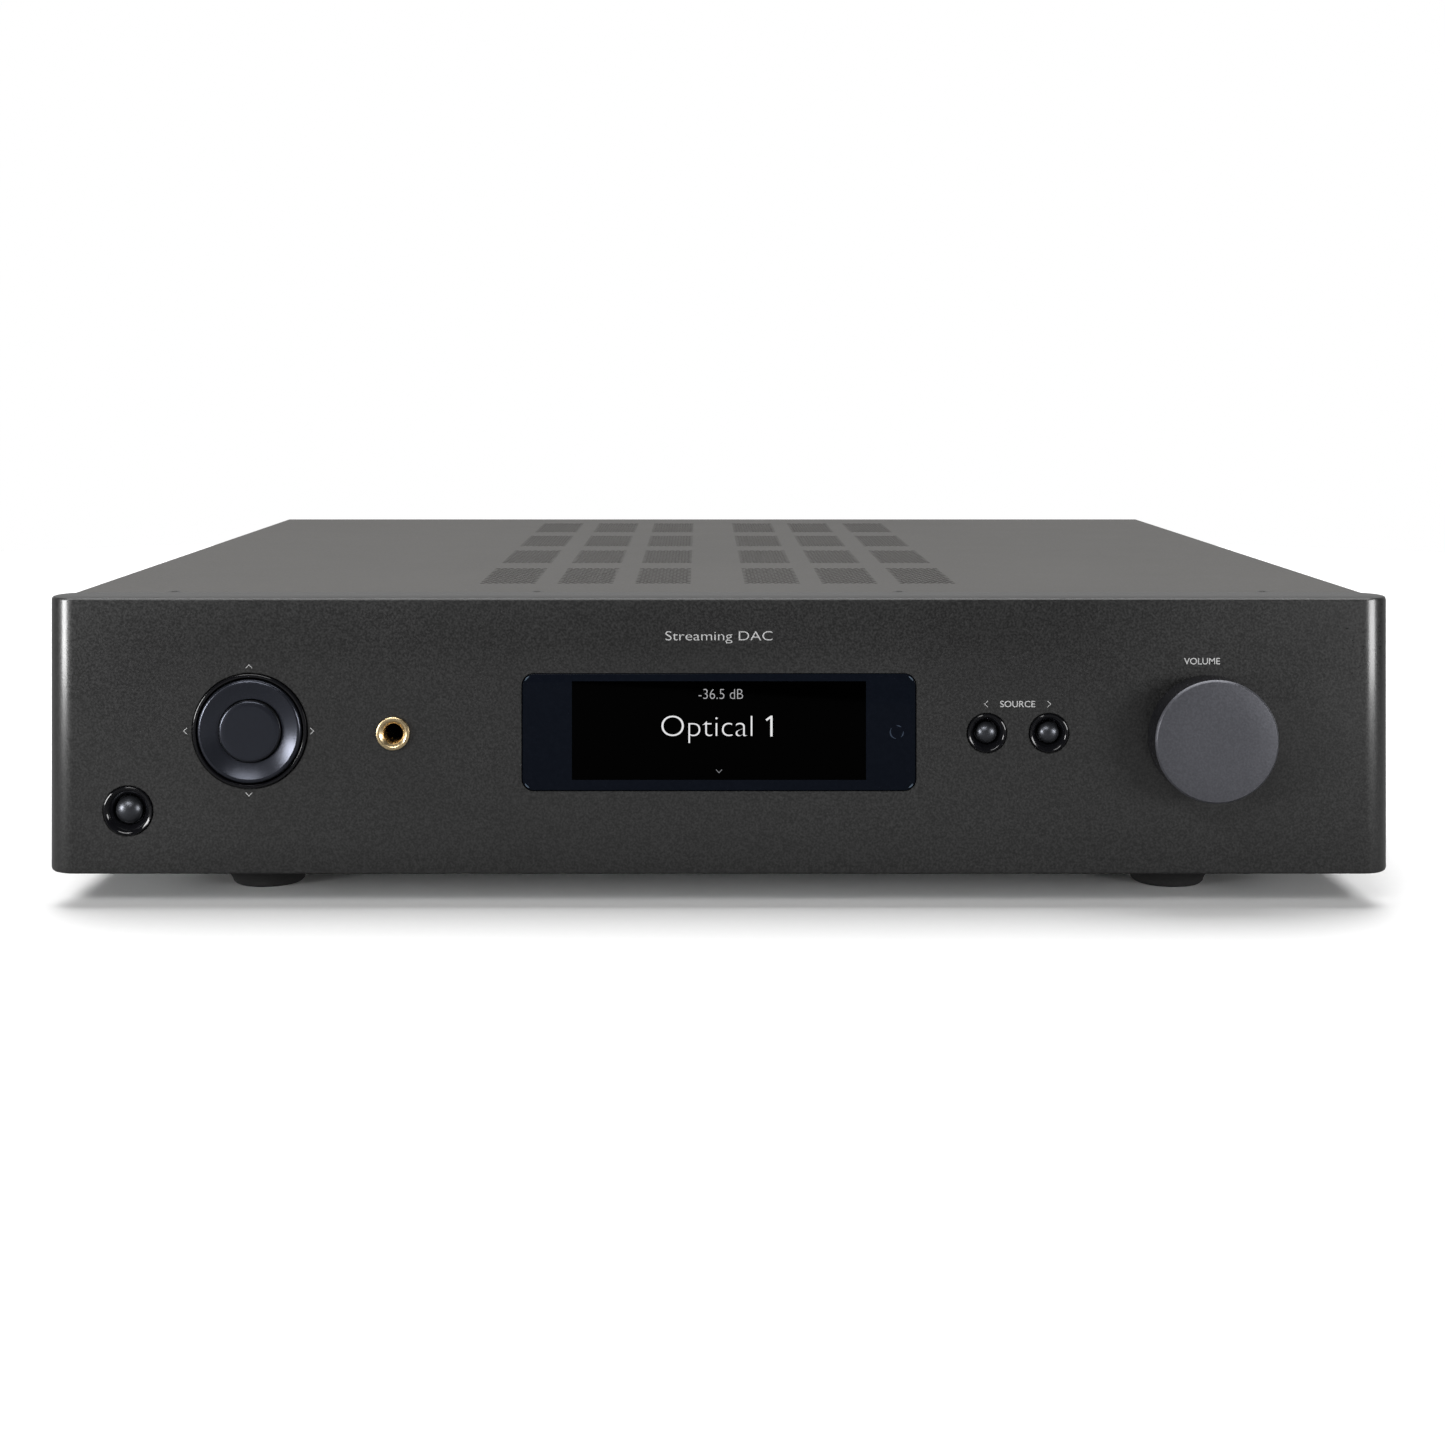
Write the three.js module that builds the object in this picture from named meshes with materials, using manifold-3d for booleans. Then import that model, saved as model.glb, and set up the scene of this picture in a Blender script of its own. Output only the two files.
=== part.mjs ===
// A full-width streaming D/A converter and preamplifier, as an assembly.
// Millimetres, +Z up, front towards -Y, origin on the ground under the middle.
import * as THREE from "three";
import { mergeVertices } from "three/addons/utils/BufferGeometryUtils.js";
import Module from "manifold-3d";

const wasm = await Module();
wasm.setup();

// Overall sizes
const width = 435; // front panel, side to side
const depth = 405; // knob face to the end of the ground post
const height = 100; // ground to the front panel's top edge
const footDrop = 11; // ground to the underside
const knobStandOut = 12;
const postStandOut = 18;

// Clearances
const fit = 0.2; // between fixed pieces that seat on each other
const run = 0.35; // round pieces that slide
const seam = 0.8; // open line between front panel and cover

// Front panel: a deep moulding with rounded ends and a hollow back
const panelDepth = 19;
const panelWall = 4;
const rimWall = 3;
const endRadius = 9.5;

// Folded steel: cover, tray and rear panel
const sheet = 1.2;
const coverInset = 2.5; // cover side behind the panel's end
const coverStep = 0.5; // cover top below the panel's top edge
const foldRadius = 1.6;
const coverSkirt = 2; // cover's lower edge above the tray's underside
const flangeHeight = 20;
const lipDepth = 12;
const lipInset = 6; // lip ends short of the sides
const wallWindow = { width: 38, height: 30, pitch: 60 };

// Vent patches in the cover
const vent = { width: 20, length: 57, columnPitch: 27, innerColumn: 19, rowPitch: 79 };
const ventFromFace = 52; // first row behind the front face
const ventRearMargin = 25;
const ventColumns = 3; // on each side of the middle
const ventSlot = 2;
const slotsPerPatch = 2;

// Screws
const coverScrew = { head: 2.6, shank: 1.4, length: 8, fromSide: 33.25, inner: 60.5 };
const coverScrewBack = 5.2; // behind the cover's front edge
const sideScrew = { head: 4, shank: 1.8, stand: 1.5, length: 6, up: 11, fromEnds: 70 };

// Feet
const foot = { bottom: 12, top: 19, lip: 2, x: 153, frontBack: 39, rearIn: 34 };

// Controls: places are from the panel's ends and its mid-height
const power = { fromEnd: 27.1, up: -24.1, bezel: 7.9, dome: 4.5, stand: 0.6 };
const source = { fromKnob: 71.3, pitch: 20, up: 1, bezel: 6.2, dome: 3.4, stand: 0.7 };
const knob = { fromEnd: 59.9, up: 0.2, radius: 19.6, behind: 0.6, chamfer: 0.5 };
const shaft = { radius: 3, inKnob: 8 };
const bush = { radius: 4.4, body: 16, back: 11.4 };
const nav = { fromEnd: 66.4, up: 1.7, ring: 16.75, bezelWall: 1.1, button: 9.7 };
const navGap = 0.55; // ring to bezel and to button, for the tilt
const navPivotBack = 4.7; // pivot axes behind the panel face
const gimbal = { inRing: 1.55, wide: 4, thick: 3, pin: 0.8 };
const navFloor = { front: 8, back: 9.5, stem: 4 };
const buttonFlange = { grow: 1.1, thick: 1.4 };
const buttonTravel = 1.2;

// Headphone socket
const jack = { offset: -6.8, up: 1, bore: 3.2, bush: 4.2, ring: 5.4, stand: 1.4, body: 14, back: 34 };
const jackBoreBack = 32;

// Display
const display = { width: 127, height: 37.8, corner: 3.9, up: 1.3, recess: 0.3 };
const screen = { width: 100, height: 35, front: 4.2, back: 10.2 };
const eye = { x: 57.3, radius: 2.6, back: 9, block: 7, foot: 6, crown: [1.6, 4.6] };
const frontBoard = { front: 12, thick: 1.6, endGap: 9, edgeGap: 6 };

// Rear sockets: x from the middle, or from the panel's ends where named
const inlet = { fromEnd: 28, up: -15, flangeW: 31, flangeH: 24, bodyW: 27.6, bodyH: 19.6, back: 20 };
const inletPit = { width: 24.2, height: 16.2, deep: 17 };
const blade = { thick: 2, tall: 4, long: 13, apart: 14, offset: 2 };
const flangeThick = 2;
const rocker = { fromEnd: 28, up: 20, width: 10.4, half: 7.8, pivotIn: 1.5, rest: 8, pin: 0.8 };
const rockerFrame = { flangeW: 17, flangeH: 23, bodyW: 13.6, bodyH: 19.8, back: 16 };
const rockerPit = { width: 11, height: 17.2, deep: 12 };
const xlr = { fromEnd: 24, pitch: 32, flangeW: 26, flangeH: 31, barrel: 11.8, pit: 9.4, deep: 15, back: 18 };
const xlrPin = { radius: 1.2, circle: 4.6, long: 12, degrees: [30, 150, 270] };
const xlrCorner = 3;
const rca = { post: 4.15, bore: 1.6, stand: 12, boreDeep: 10, blockDeep: 14, edge: 8 };
const rcaPitch = { x: 18, z: 20 };
const rcaInputs = { x: 110, columns: 3, rows: 2 };
const rcaOutputs = { x: 57, columns: 2, rows: 2 };
const coax = { x: 26, columns: 1, rows: 2 };
const optical = { x: -4, pitch: 15, up: 10, outer: 12, pitW: 9, pitH: 10, deep: 11, stand: 1, blockDeep: 14 };
const flap = { width: 8.5, thick: 0.8, bar: 0.7, barDown: 1, pinLong: 0.9, in: 1, pin: 0.5 };
const ethernet = { x: -38, up: 10, width: 16, height: 14, back: 16, stand: 0.8, pit: [11.8, 8.4, 11] };
const usb = { x: -38, up: -12, width: 14.6, height: 7.6, back: 14, stand: 0.8, pit: [12.6, 5.2, 9] };
const tongue = { width: 11, thick: 1.9, drop: 0.3 };
const trigger = { x: -10, fromBottom: 16, pitch: 12, bush: 3.6, bore: 1.8, stand: 1.2, deep: 10 };
const triggerBlock = { side: 5.5, deep: 12, height: 11 };
const serial = { x: 25, fromBottom: 14, flangeW: 31, flangeH: 12.5, collarW: 16.3, collarH: 7.9, stand: 6 };
const serialPost = { radius: 2.6, apart: 25, stand: 5 };
const serialBack = 10;
const antenna = { fromEnd: 62, fromTop: 9, base: 5, barrel: 3.1, stand: 11, back: 6 };
const ground = { x: 134, fromTop: 13, thread: 2, collar: 4.5, back: 6, nut: 5, nutStart: 5, nutLong: 7 };
const modulePlate = { x: -108, width: 96, height: 24, pitch: 28, lap: 3, thick: 1.2 };

// Boards on pillars
const pillar = { radius: 3, tall: 5, inset: 6 };
const boardThick = 1.6;
const mainBoard = { x: [30, 205], long: 170 };
const networkBoard = { x: [-62, 22], long: 90 };
const supplyBoard = { x: [-205, -72], fromFront: 22, long: 190 };
const coil = { x: -150, fromFront: 90, core: [46, 38, 34], winding: [34, 52, 26] };

// Derived places
const halfWidth = width / 2;
const faceY = knobStandOut - depth / 2;
const rearY = depth / 2 - postStandOut;
const midZ = (footDrop + height) / 2;
const panelHalf = (height - footDrop) / 2;
const coverHalf = halfWidth - coverInset;
const coverTop = height - coverStep;
const coverFront = faceY + panelDepth + seam;
const innerHalf = coverHalf - sheet - fit;
const innerTop = coverTop - sheet - fit;
const floorTop = footDrop + sheet;
const trayFront = faceY + panelDepth + fit;
const rearInner = rearY - sheet;
const boardZ = floorTop + pillar.tall + fit;
const boardTop = boardZ + boardThick;
const knobX = halfWidth - knob.fromEnd;
const navX = nav.fromEnd - halfWidth;
const powerX = power.fromEnd - halfWidth;
const sourceX = knobX - source.fromKnob;
const navBezelInner = nav.ring + navGap;
const navBezelOuter = navBezelInner + nav.bezelWall;
const gimbalOuter = nav.ring - gimbal.inRing;
const gimbalInner = gimbalOuter - gimbal.wide;
const stemBack = frontBoard.front - buttonTravel - 2 * fit; // rear end of every button stem
const displayLeft = -display.width / 2;
const jackX = (navX + navBezelOuter + displayLeft) / 2 + jack.offset;

// Materials: colour, roughness, metalness
function finish(color, roughness, metalness = 0) {
  return new THREE.MeshStandardMaterial({ color, roughness, metalness });
}
const panelPaint = () => finish(0x343434, 0.5, 0.3);
const coverPaint = () => finish(0x4a4a49, 0.6, 0.2);
const zincSteel = () => finish(0x9a9c9e, 0.45, 0.9);
const blackGloss = () => finish(0x141416, 0.12);
const blackPlastic = () => finish(0x1b1b1c, 0.55);
const gold = () => finish(0xc9a866, 0.25, 1);
const brightSteel = () => finish(0xc8c8c8, 0.25, 1);
const darkScrew = () => finish(0x2c2c2d, 0.4, 0.8);
const board = () => finish(0x1f4a2c, 0.6);
const knobMetal = () => finish(0x525258, 0.42, 0.7);
const windowGlass = () => finish(0x12141c, 0.08);
const yellowTape = () => finish(0x8a7a3c, 0.6);

// Sides of the round pieces, by size
const bigRound = 32;
const midRound = 20;
const smallRound = 12;

// Solids
function solidOf(geometry) {
  geometry.deleteAttribute("normal");
  geometry.deleteAttribute("uv");
  const merged = mergeVertices(geometry, 1e-4);
  const triVerts = new Uint32Array(merged.index.array);
  const vertProperties = merged.attributes.position.array;
  return new wasm.Manifold(new wasm.Mesh({ numProp: 3, vertProperties, triVerts }));
}

function geometryOf(solid) {
  const { vertProperties, triVerts } = solid.getMesh();
  const geometry = new THREE.BufferGeometry();
  geometry.setAttribute("position", new THREE.BufferAttribute(vertProperties, 3));
  geometry.setIndex(new THREE.BufferAttribute(triVerts, 1));
  geometry.computeVertexNormals();
  return geometry;
}

// A box from its limits along X, Y and Z.
function block([x0, x1], [y0, y1], [z0, z1]) {
  const box = new THREE.BoxGeometry(x1 - x0, y1 - y0, z1 - z0);
  return solidOf(box.translate((x0 + x1) / 2, (y0 + y1) / 2, (z0 + z1) / 2));
}

// A box centred on x and z, from y0 to y1.
function bar(x, z, w, h, y0, y1) {
  return block([x - w / 2, x + w / 2], [y0, y1], [z - h / 2, z + h / 2]);
}

function roundedRectangle(w, h, r) {
  const shape = new THREE.Shape();
  shape.moveTo(r - w / 2, -h / 2);
  shape.lineTo(w / 2 - r, -h / 2);
  shape.absarc(w / 2 - r, r - h / 2, r, -Math.PI / 2, 0);
  shape.absarc(w / 2 - r, h / 2 - r, r, 0, Math.PI / 2);
  shape.absarc(r - w / 2, h / 2 - r, r, Math.PI / 2, Math.PI);
  shape.absarc(r - w / 2, r - h / 2, r, Math.PI, 1.5 * Math.PI);
  return shape;
}

// A shape drawn in X and Z, extruded along Y from y0 to y1.
function pressed(shape, y0, y1, curveSegments = 6) {
  const options = { depth: y1 - y0, bevelEnabled: false, curveSegments };
  const geometry = new THREE.ExtrudeGeometry(shape, options);
  return solidOf(geometry.rotateX(Math.PI / 2).translate(0, y1, 0));
}

// A shape drawn in X and Y, extruded along Z from z0 to z1.
function raised(shape, z0, z1, curveSegments = 6) {
  const options = { depth: z1 - z0, bevelEnabled: false, curveSegments };
  return solidOf(new THREE.ExtrudeGeometry(shape, options).translate(0, 0, z0));
}

// A closed profile of [radius, y] points, its outside listed from high y to low y, turned about Y.
function turned(profile, segments = midRound) {
  const points = profile.map(([r, y]) => new THREE.Vector2(r, y));
  return solidOf(new THREE.LatheGeometry(points.reverse(), segments));
}

// A cylinder along Y.
function drill(x, z, r, y0, y1, segments = midRound) {
  const geometry = new THREE.CylinderGeometry(r, r, y1 - y0, segments);
  return solidOf(geometry.translate(x, (y0 + y1) / 2, z));
}

// A cylinder along X.
function pinAcross(x0, x1, y, z, r, segments = smallRound) {
  const geometry = new THREE.CylinderGeometry(r, r, x1 - x0, segments);
  return solidOf(geometry.rotateZ(Math.PI / 2).translate((x0 + x1) / 2, y, z));
}

// A cylinder along Z.
function pinUp(x, y, z0, z1, r, segments = smallRound) {
  const geometry = new THREE.CylinderGeometry(r, r, z1 - z0, segments);
  return solidOf(geometry.rotateX(Math.PI / 2).translate(x, y, (z0 + z1) / 2));
}

const past = 1; // how far a cutter runs past the faces it cuts

const joined = (solids) => solids.reduce((whole, solid) => whole.add(solid));
const cut = (solid, cutters) => cutters.reduce((left, cutter) => left.subtract(cutter), solid);

function place(parent, name, solid, material, x = 0, y = 0, z = 0) {
  const mesh = new THREE.Mesh(geometryOf(solid), material);
  mesh.name = name;
  mesh.position.set(x, y, z);
  parent.add(mesh);
  return mesh;
}

const device = new THREE.Group();
const front = new THREE.Group(); // y = 0 on the panel's front face, z = 0 at mid-height
front.position.set(0, faceY, midZ);
const rear = new THREE.Group(); // y = 0 on the rear panel's outer face, z = 0 at mid-height
rear.position.set(0, rearY, midZ);
device.add(front, rear);

// Front panel ------------------------------------------------------------

// Plan outline with the two front corners rounded.
function panelPlan(half, y0, y1, r) {
  const plan = new THREE.Shape();
  plan.moveTo(half, y1);
  plan.lineTo(-half, y1);
  plan.lineTo(-half, y0 + r);
  plan.absarc(r - half, y0 + r, r, Math.PI, 1.5 * Math.PI);
  plan.lineTo(half - r, y0);
  plan.absarc(half - r, y0 + r, r, 1.5 * Math.PI, 2 * Math.PI);
  plan.closePath();
  return plan;
}

function frontPanel() {
  const outer = raised(panelPlan(halfWidth, 0, panelDepth, endRadius), -panelHalf, panelHalf);
  const hollowTop = panelHalf - rimWall;
  const innerPlan = panelPlan(halfWidth - rimWall, panelWall, panelDepth + past, endRadius - rimWall);
  const hollow = raised(innerPlan, -hollowTop, hollowTop);
  const holes = [
    [powerX, power.up, power.bezel],
    [navX, nav.up, navBezelOuter],
    [jackX, jack.up, jack.bush],
    [sourceX, source.up, source.bezel],
    [sourceX + source.pitch, source.up, source.bezel],
    [knobX, knob.up, bush.radius],
  ].map(([x, z, r]) => drill(x, z, r + fit, -past, panelWall + past, r > 10 ? bigRound : midRound));
  const windowHole = roundedRectangle(
    display.width + 2 * fit,
    display.height + 2 * fit,
    display.corner + fit,
  );
  const opening = pressed(windowHole, -past, panelWall + past).translate([0, 0, display.up]);
  return cut(outer, [hollow, opening, ...holes]);
}

place(front, "front_panel", frontPanel(), panelPaint());

// Display ----------------------------------------------------------------

const windowShape = roundedRectangle(display.width, display.height, display.corner);
const windowPane = pressed(windowShape, display.recess, panelWall);
place(front, "display_window", windowPane, windowGlass(), 0, 0, display.up);

const screenBack = bar(0, 0, screen.width, screen.height, screen.front, screen.back);
place(front, "display_module", screenBack, blackPlastic(), 0, 0, display.up);

function infraredEye() {
  const dome = [[eye.radius, eye.foot], eye.crown, [0, screen.front]];
  const lens = turned([[0, eye.back], [eye.radius, eye.back], ...dome], smallRound);
  return lens.add(bar(0, 0, eye.block, eye.block, eye.block, eye.back));
}
place(front, "ir_receiver", infraredEye(), blackGloss(), eye.x, 0, display.up);

// Press buttons ----------------------------------------------------------

// A dished ring round a button, seated in the panel.
function dishedBezel(bezelRadius, buttonRadius) {
  const hole = buttonRadius + run;
  return turned([
    [hole, panelWall],
    [bezelRadius, panelWall],
    [bezelRadius, -0.4],
    [bezelRadius - 0.6, -0.4],
    [hole + 0.8, 1.4],
    [hole, 1.6],
    [hole, panelWall],
  ]);
}

// A domed button, with a flange behind the bezel that keeps it in.
function domedButton(radius, stand) {
  const flangeFront = panelWall + fit;
  const crown = [1, 0.9, 0.7, 0.4].map((share) => {
    const drop = 1 - Math.sqrt(1 - share * share);
    return [radius * share, drop * radius * 0.6 - stand];
  });
  return turned([
    [0, stemBack],
    [radius * 0.6, stemBack],
    [radius * 0.6, flangeFront + buttonFlange.thick],
    [radius + buttonFlange.grow, flangeFront + buttonFlange.thick],
    [radius + buttonFlange.grow, flangeFront],
    [radius, flangeFront],
    ...crown,
    [0, -stand],
  ]);
}

function pressButton(label, spec, x) {
  const [bezelName, buttonName] = label;
  const bezel = dishedBezel(spec.bezel, spec.dome);
  place(front, bezelName, bezel, blackGloss(), x, 0, spec.up);
  place(front, buttonName, domedButton(spec.dome, spec.stand), blackGloss(), x, 0, spec.up);
}
pressButton(["power_bezel", "power_button"], power, powerX);
pressButton(["source_bezel_left", "source_button_left"], source, sourceX);
pressButton(["source_bezel_right", "source_button_right"], source, sourceX + source.pitch);

// Four-way ring ----------------------------------------------------------

function navBezel() {
  const cup = turned([
    [navFloor.stem + run, navFloor.back],
    [navBezelOuter, navFloor.back],
    [navBezelOuter, -0.4],
    [navBezelOuter - 0.4, -0.8],
    [navBezelInner, -0.8],
    [navBezelInner, navFloor.front],
    [navFloor.stem + run, navFloor.front],
    [navFloor.stem + run, navFloor.back],
  ], bigRound);
  const seat = pinAcross(-navBezelOuter + 0.4, navBezelOuter - 0.4, navPivotBack, 0, gimbal.pin + fit);
  return cup.subtract(seat);
}

// The ring rocks left and right on two pins in the gimbal.
function navRing() {
  const inner = nav.button + navGap;
  const face = turned([
    [inner, 2],
    [nav.ring, 2],
    [nav.ring, -1],
    [nav.ring - 0.6, -1.5],
    [nav.ring - 3, -1.1],
    [inner + 1.4, -0.7],
    [inner, -0.4],
    [inner, 2],
  ], bigRound);
  const tabInner = gimbalOuter + 0.4;
  const tabOuter = nav.ring - 0.15;
  const pinEnd = gimbalOuter - 1.6;
  const halves = [1, -1].flatMap((side) => {
    const tab = block([-1.5, 1.5], [1.5, navPivotBack + 1.4], sorted(side * tabInner, side * tabOuter));
    const [z0, z1] = sorted(side * pinEnd, side * (tabOuter - 0.3));
    return [tab, pinUp(0, navPivotBack, z0, z1, gimbal.pin)];
  });
  return joined([face, ...halves]);
}

function sorted(a, b) {
  return a < b ? [a, b] : [b, a];
}

// The gimbal rocks up and down on two pins in the bezel.
function navGimbal() {
  const front0 = navPivotBack - gimbal.thick / 2;
  const back0 = navPivotBack + gimbal.thick / 2;
  const hoop = turned([
    [gimbalInner, back0],
    [gimbalOuter, back0],
    [gimbalOuter, front0],
    [gimbalInner, front0],
    [gimbalInner, back0],
  ], bigRound);
  const reach = navBezelOuter - 0.6;
  const pins = [1, -1].map((side) => {
    const [x0, x1] = sorted(side * (gimbalOuter - 1), side * reach);
    return pinAcross(x0, x1, navPivotBack, 0, gimbal.pin);
  });
  const sockets = pinUp(0, navPivotBack, -gimbalOuter - past, gimbalOuter + past, gimbal.pin + fit);
  return joined([hoop, ...pins]).subtract(sockets);
}

function navButton() {
  return turned([
    [0, stemBack],
    [navFloor.stem, stemBack],
    [navFloor.stem, 1.6],
    [nav.button, 1.6],
    [nav.button, -0.6],
    [nav.button - 0.5, -1],
    [nav.button * 0.55, -0.75],
    [0, -0.65],
  ], bigRound);
}

place(front, "nav_bezel", navBezel(), blackGloss(), navX, 0, nav.up);
place(front, "nav_ring", navRing(), blackGloss(), navX, 0, nav.up);
place(front, "nav_gimbal", navGimbal(), blackPlastic(), navX, 0, nav.up);
place(front, "nav_select_button", navButton(), blackGloss(), navX, 0, nav.up);

// Headphone socket -------------------------------------------------------

function headphoneRing() {
  return turned([
    [jack.bore + 0.2, -fit],
    [jack.ring, -fit],
    [jack.ring, 0.5 - jack.stand],
    [jack.ring - 0.4, -jack.stand],
    [jack.ring - 0.9, -jack.stand],
    [jack.bore + 0.2, -0.4],
    [jack.bore + 0.2, -fit],
  ]);
}

function headphoneBody() {
  const body = bar(0, 0, jack.body, jack.body, panelWall + fit, jack.back);
  const neck = drill(0, 0, jack.bush, 0, panelWall + 1);
  return body.add(neck).subtract(drill(0, 0, jack.bore, -past, jackBoreBack));
}

place(front, "headphone_ring", headphoneRing(), gold(), jackX, 0, jack.up);
place(front, "headphone_jack", headphoneBody(), blackPlastic(), jackX, 0, jack.up);

// Volume control ---------------------------------------------------------

function volumeKnob() {
  const face = -knobStandOut;
  const grip = turned([
    [0, -knob.behind],
    [knob.radius, -knob.behind],
    [knob.radius, face + knob.chamfer],
    [knob.radius - knob.chamfer, face],
    [0, face],
  ], bigRound);
  return grip.subtract(drill(0, 0, shaft.radius + fit, -shaft.inKnob - fit, past));
}

function volumeEncoder() {
  const body = bar(0, 0, bush.body, bush.body, panelWall + fit, bush.back);
  const neck = drill(0, 0, bush.radius, 0, panelWall + 1);
  return body.add(neck).subtract(drill(0, 0, shaft.radius + fit, -past, bush.back - 0.8));
}

const encoderShaft = drill(0, 0, shaft.radius, -shaft.inKnob, bush.back - 1);
place(front, "volume_knob", volumeKnob(), knobMetal(), knobX, 0, knob.up);
place(front, "encoder_shaft", encoderShaft, brightSteel(), knobX, 0, knob.up);
place(front, "volume_encoder", volumeEncoder(), zincSteel(), knobX, 0, knob.up);

// Board behind the controls, cut away round the headphone socket.
function controlBoard() {
  const half = halfWidth - frontBoard.endGap;
  const top = panelHalf - frontBoard.edgeGap;
  const back = frontBoard.front + frontBoard.thick;
  const plate = block([-half, half], [frontBoard.front, back], [-top, top]);
  const gap = jack.body + 2 * fit;
  return plate.subtract(bar(jackX, jack.up, gap, gap, frontBoard.front - past, back + past));
}
place(front, "front_board", controlBoard(), board());

// Cover ------------------------------------------------------------------

function coverSection() {
  const r = foldRadius;
  const low = footDrop + coverSkirt;
  const inner = coverHalf - sheet;
  const under = coverTop - sheet;
  const section = new THREE.Shape();
  section.moveTo(coverHalf, low);
  section.lineTo(coverHalf, coverTop - r);
  section.absarc(coverHalf - r, coverTop - r, r, 0, Math.PI / 2);
  section.lineTo(r - coverHalf, coverTop);
  section.absarc(r - coverHalf, coverTop - r, r, Math.PI / 2, Math.PI);
  section.lineTo(-coverHalf, low);
  section.lineTo(-inner, low);
  section.lineTo(-inner, under);
  section.lineTo(inner, under);
  section.lineTo(inner, low);
  section.closePath();
  return section;
}

function ventSlots() {
  const coverDepth = rearY - faceY;
  const room = coverDepth - ventFromFace - ventRearMargin + vent.rowPitch - vent.length;
  const rows = Math.floor(room / vent.rowPitch);
  const slots = [];
  for (let row = 0; row < rows; row += 1) {
    const y0 = faceY + ventFromFace + row * vent.rowPitch;
    for (let column = 0; column < ventColumns; column += 1) {
      for (const side of [-1, 1]) {
        const x = side * (vent.innerColumn + column * vent.columnPitch);
        for (let slot = 0; slot < slotsPerPatch; slot += 1) {
          const across = ((slot + 0.5) / slotsPerPatch - 0.5) * vent.width;
          slots.push(bar(x + across, coverTop, ventSlot, 2 * sheet + past, y0, y0 + vent.length));
        }
      }
    }
  }
  return slots;
}

const coverScrewY = coverFront + coverScrewBack;
const outerScrewX = coverHalf - coverScrew.fromSide;
const coverScrewXs = [-outerScrewX, -coverScrew.inner, coverScrew.inner, outerScrewX];
const sideScrewZ = footDrop + sideScrew.up;
const sideScrewYs = [coverFront + sideScrew.fromEnds, rearY - sideScrew.fromEnds];

function topCover() {
  const shell = pressed(coverSection(), coverFront, rearY, 3);
  const headHole = coverScrew.head + fit;
  const topHoles = coverScrewXs.map((x) =>
    pinUp(x, coverScrewY, innerTop - past, coverTop + past, headHole),
  );
  const sideHoles = sideScrewYs.map((y) =>
    pinAcross(-halfWidth, halfWidth, y, sideScrewZ, sideScrew.shank + fit),
  );
  return cut(shell, [...topHoles, ...sideHoles, ...ventSlots()]);
}
place(device, "top_cover", topCover(), coverPaint());

coverScrewXs.forEach((x, i) => {
  const head = pinUp(0, 0, -sheet, 0.1, coverScrew.head);
  const screw = head.add(pinUp(0, 0, -coverScrew.length, -sheet / 2, coverScrew.shank));
  place(device, `cover_screw_${i + 1}`, screw, darkScrew(), x, coverScrewY, coverTop);
});

let sideScrewCount = 0;
for (const side of [-1, 1]) {
  for (const y of sideScrewYs) {
    const [h0, h1] = sorted(side * fit, side * (fit + sideScrew.stand));
    const [s0, s1] = sorted(side * -sideScrew.length, side * (fit + sideScrew.stand / 2));
    const head = pinAcross(h0, h1, 0, 0, sideScrew.head);
    const screw = head.add(pinAcross(s0, s1, 0, 0, sideScrew.shank));
    sideScrewCount += 1;
    place(device, `side_screw_${sideScrewCount}`, screw, darkScrew(), side * coverHalf, y, sideScrewZ);
  }
}

// Tray -------------------------------------------------------------------

// Corner points of a board, where its pillars stand.
function boardCorners([x0, x1], y0, y1) {
  const inset = pillar.inset;
  return [x0 + inset, x1 - inset].flatMap((x) => [y0 + inset, y1 - inset].map((y) => [x, y]));
}

const boardRearY = rearInner - 2;
const frontWallBack = trayFront + sheet;
const mainSpan = [boardRearY - mainBoard.long, boardRearY];
const networkSpan = [boardRearY - networkBoard.long, boardRearY];
const supplyStart = frontWallBack + supplyBoard.fromFront;
const supplySpan = [supplyStart, supplyStart + supplyBoard.long];
const pillarPlaces = [
  ...boardCorners(mainBoard.x, ...mainSpan),
  ...boardCorners(networkBoard.x, ...networkSpan),
  ...boardCorners(supplyBoard.x, ...supplySpan),
];

function bottomTray() {
  const wallTop = innerTop;
  const floor = block([-innerHalf, innerHalf], [trayFront, rearInner - fit], [footDrop, floorTop]);
  const wall = block([-innerHalf, innerHalf], [trayFront, frontWallBack], [footDrop, wallTop]);
  const lipHalf = innerHalf - lipInset;
  const lip = block([-lipHalf, lipHalf], [trayFront, frontWallBack + lipDepth], [wallTop - sheet, wallTop]);
  const flanges = [-1, 1].map((side) => {
    const xs = sorted(side * innerHalf, side * (innerHalf - sheet));
    return block(xs, [trayFront, rearInner - fit], [footDrop, footDrop + flangeHeight]);
  });
  const pillars = pillarPlaces.map(([x, y]) => pinUp(x, y, floorTop - 0.5, boardZ - fit, pillar.radius, 6));
  const throughWall = (x, z, w, h) => bar(x, z, w, h, trayFront - past, frontWallBack + past);
  const windows = [-1, 0, 1].map((i) =>
    throughWall(i * wallWindow.pitch, midZ, wallWindow.width, wallWindow.height),
  );
  const jackGap = jack.body + 2 * fit;
  const jackHole = throughWall(jackX, midZ + jack.up, jackGap, jackGap);
  const shankHole = coverScrew.shank + fit;
  const lipHoles = coverScrewXs.map((x) => pinUp(x, coverScrewY, wallTop - 3, wallTop + past, shankHole));
  const sideHoles = sideScrewYs.map((y) =>
    pinAcross(-halfWidth, halfWidth, y, sideScrewZ, sideScrew.shank + fit),
  );
  const folded = joined([floor, wall, lip, ...flanges, ...pillars]);
  return cut(folded, [...windows, jackHole, ...lipHoles, ...sideHoles]);
}
place(device, "bottom_tray", bottomTray(), zincSteel());

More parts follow.
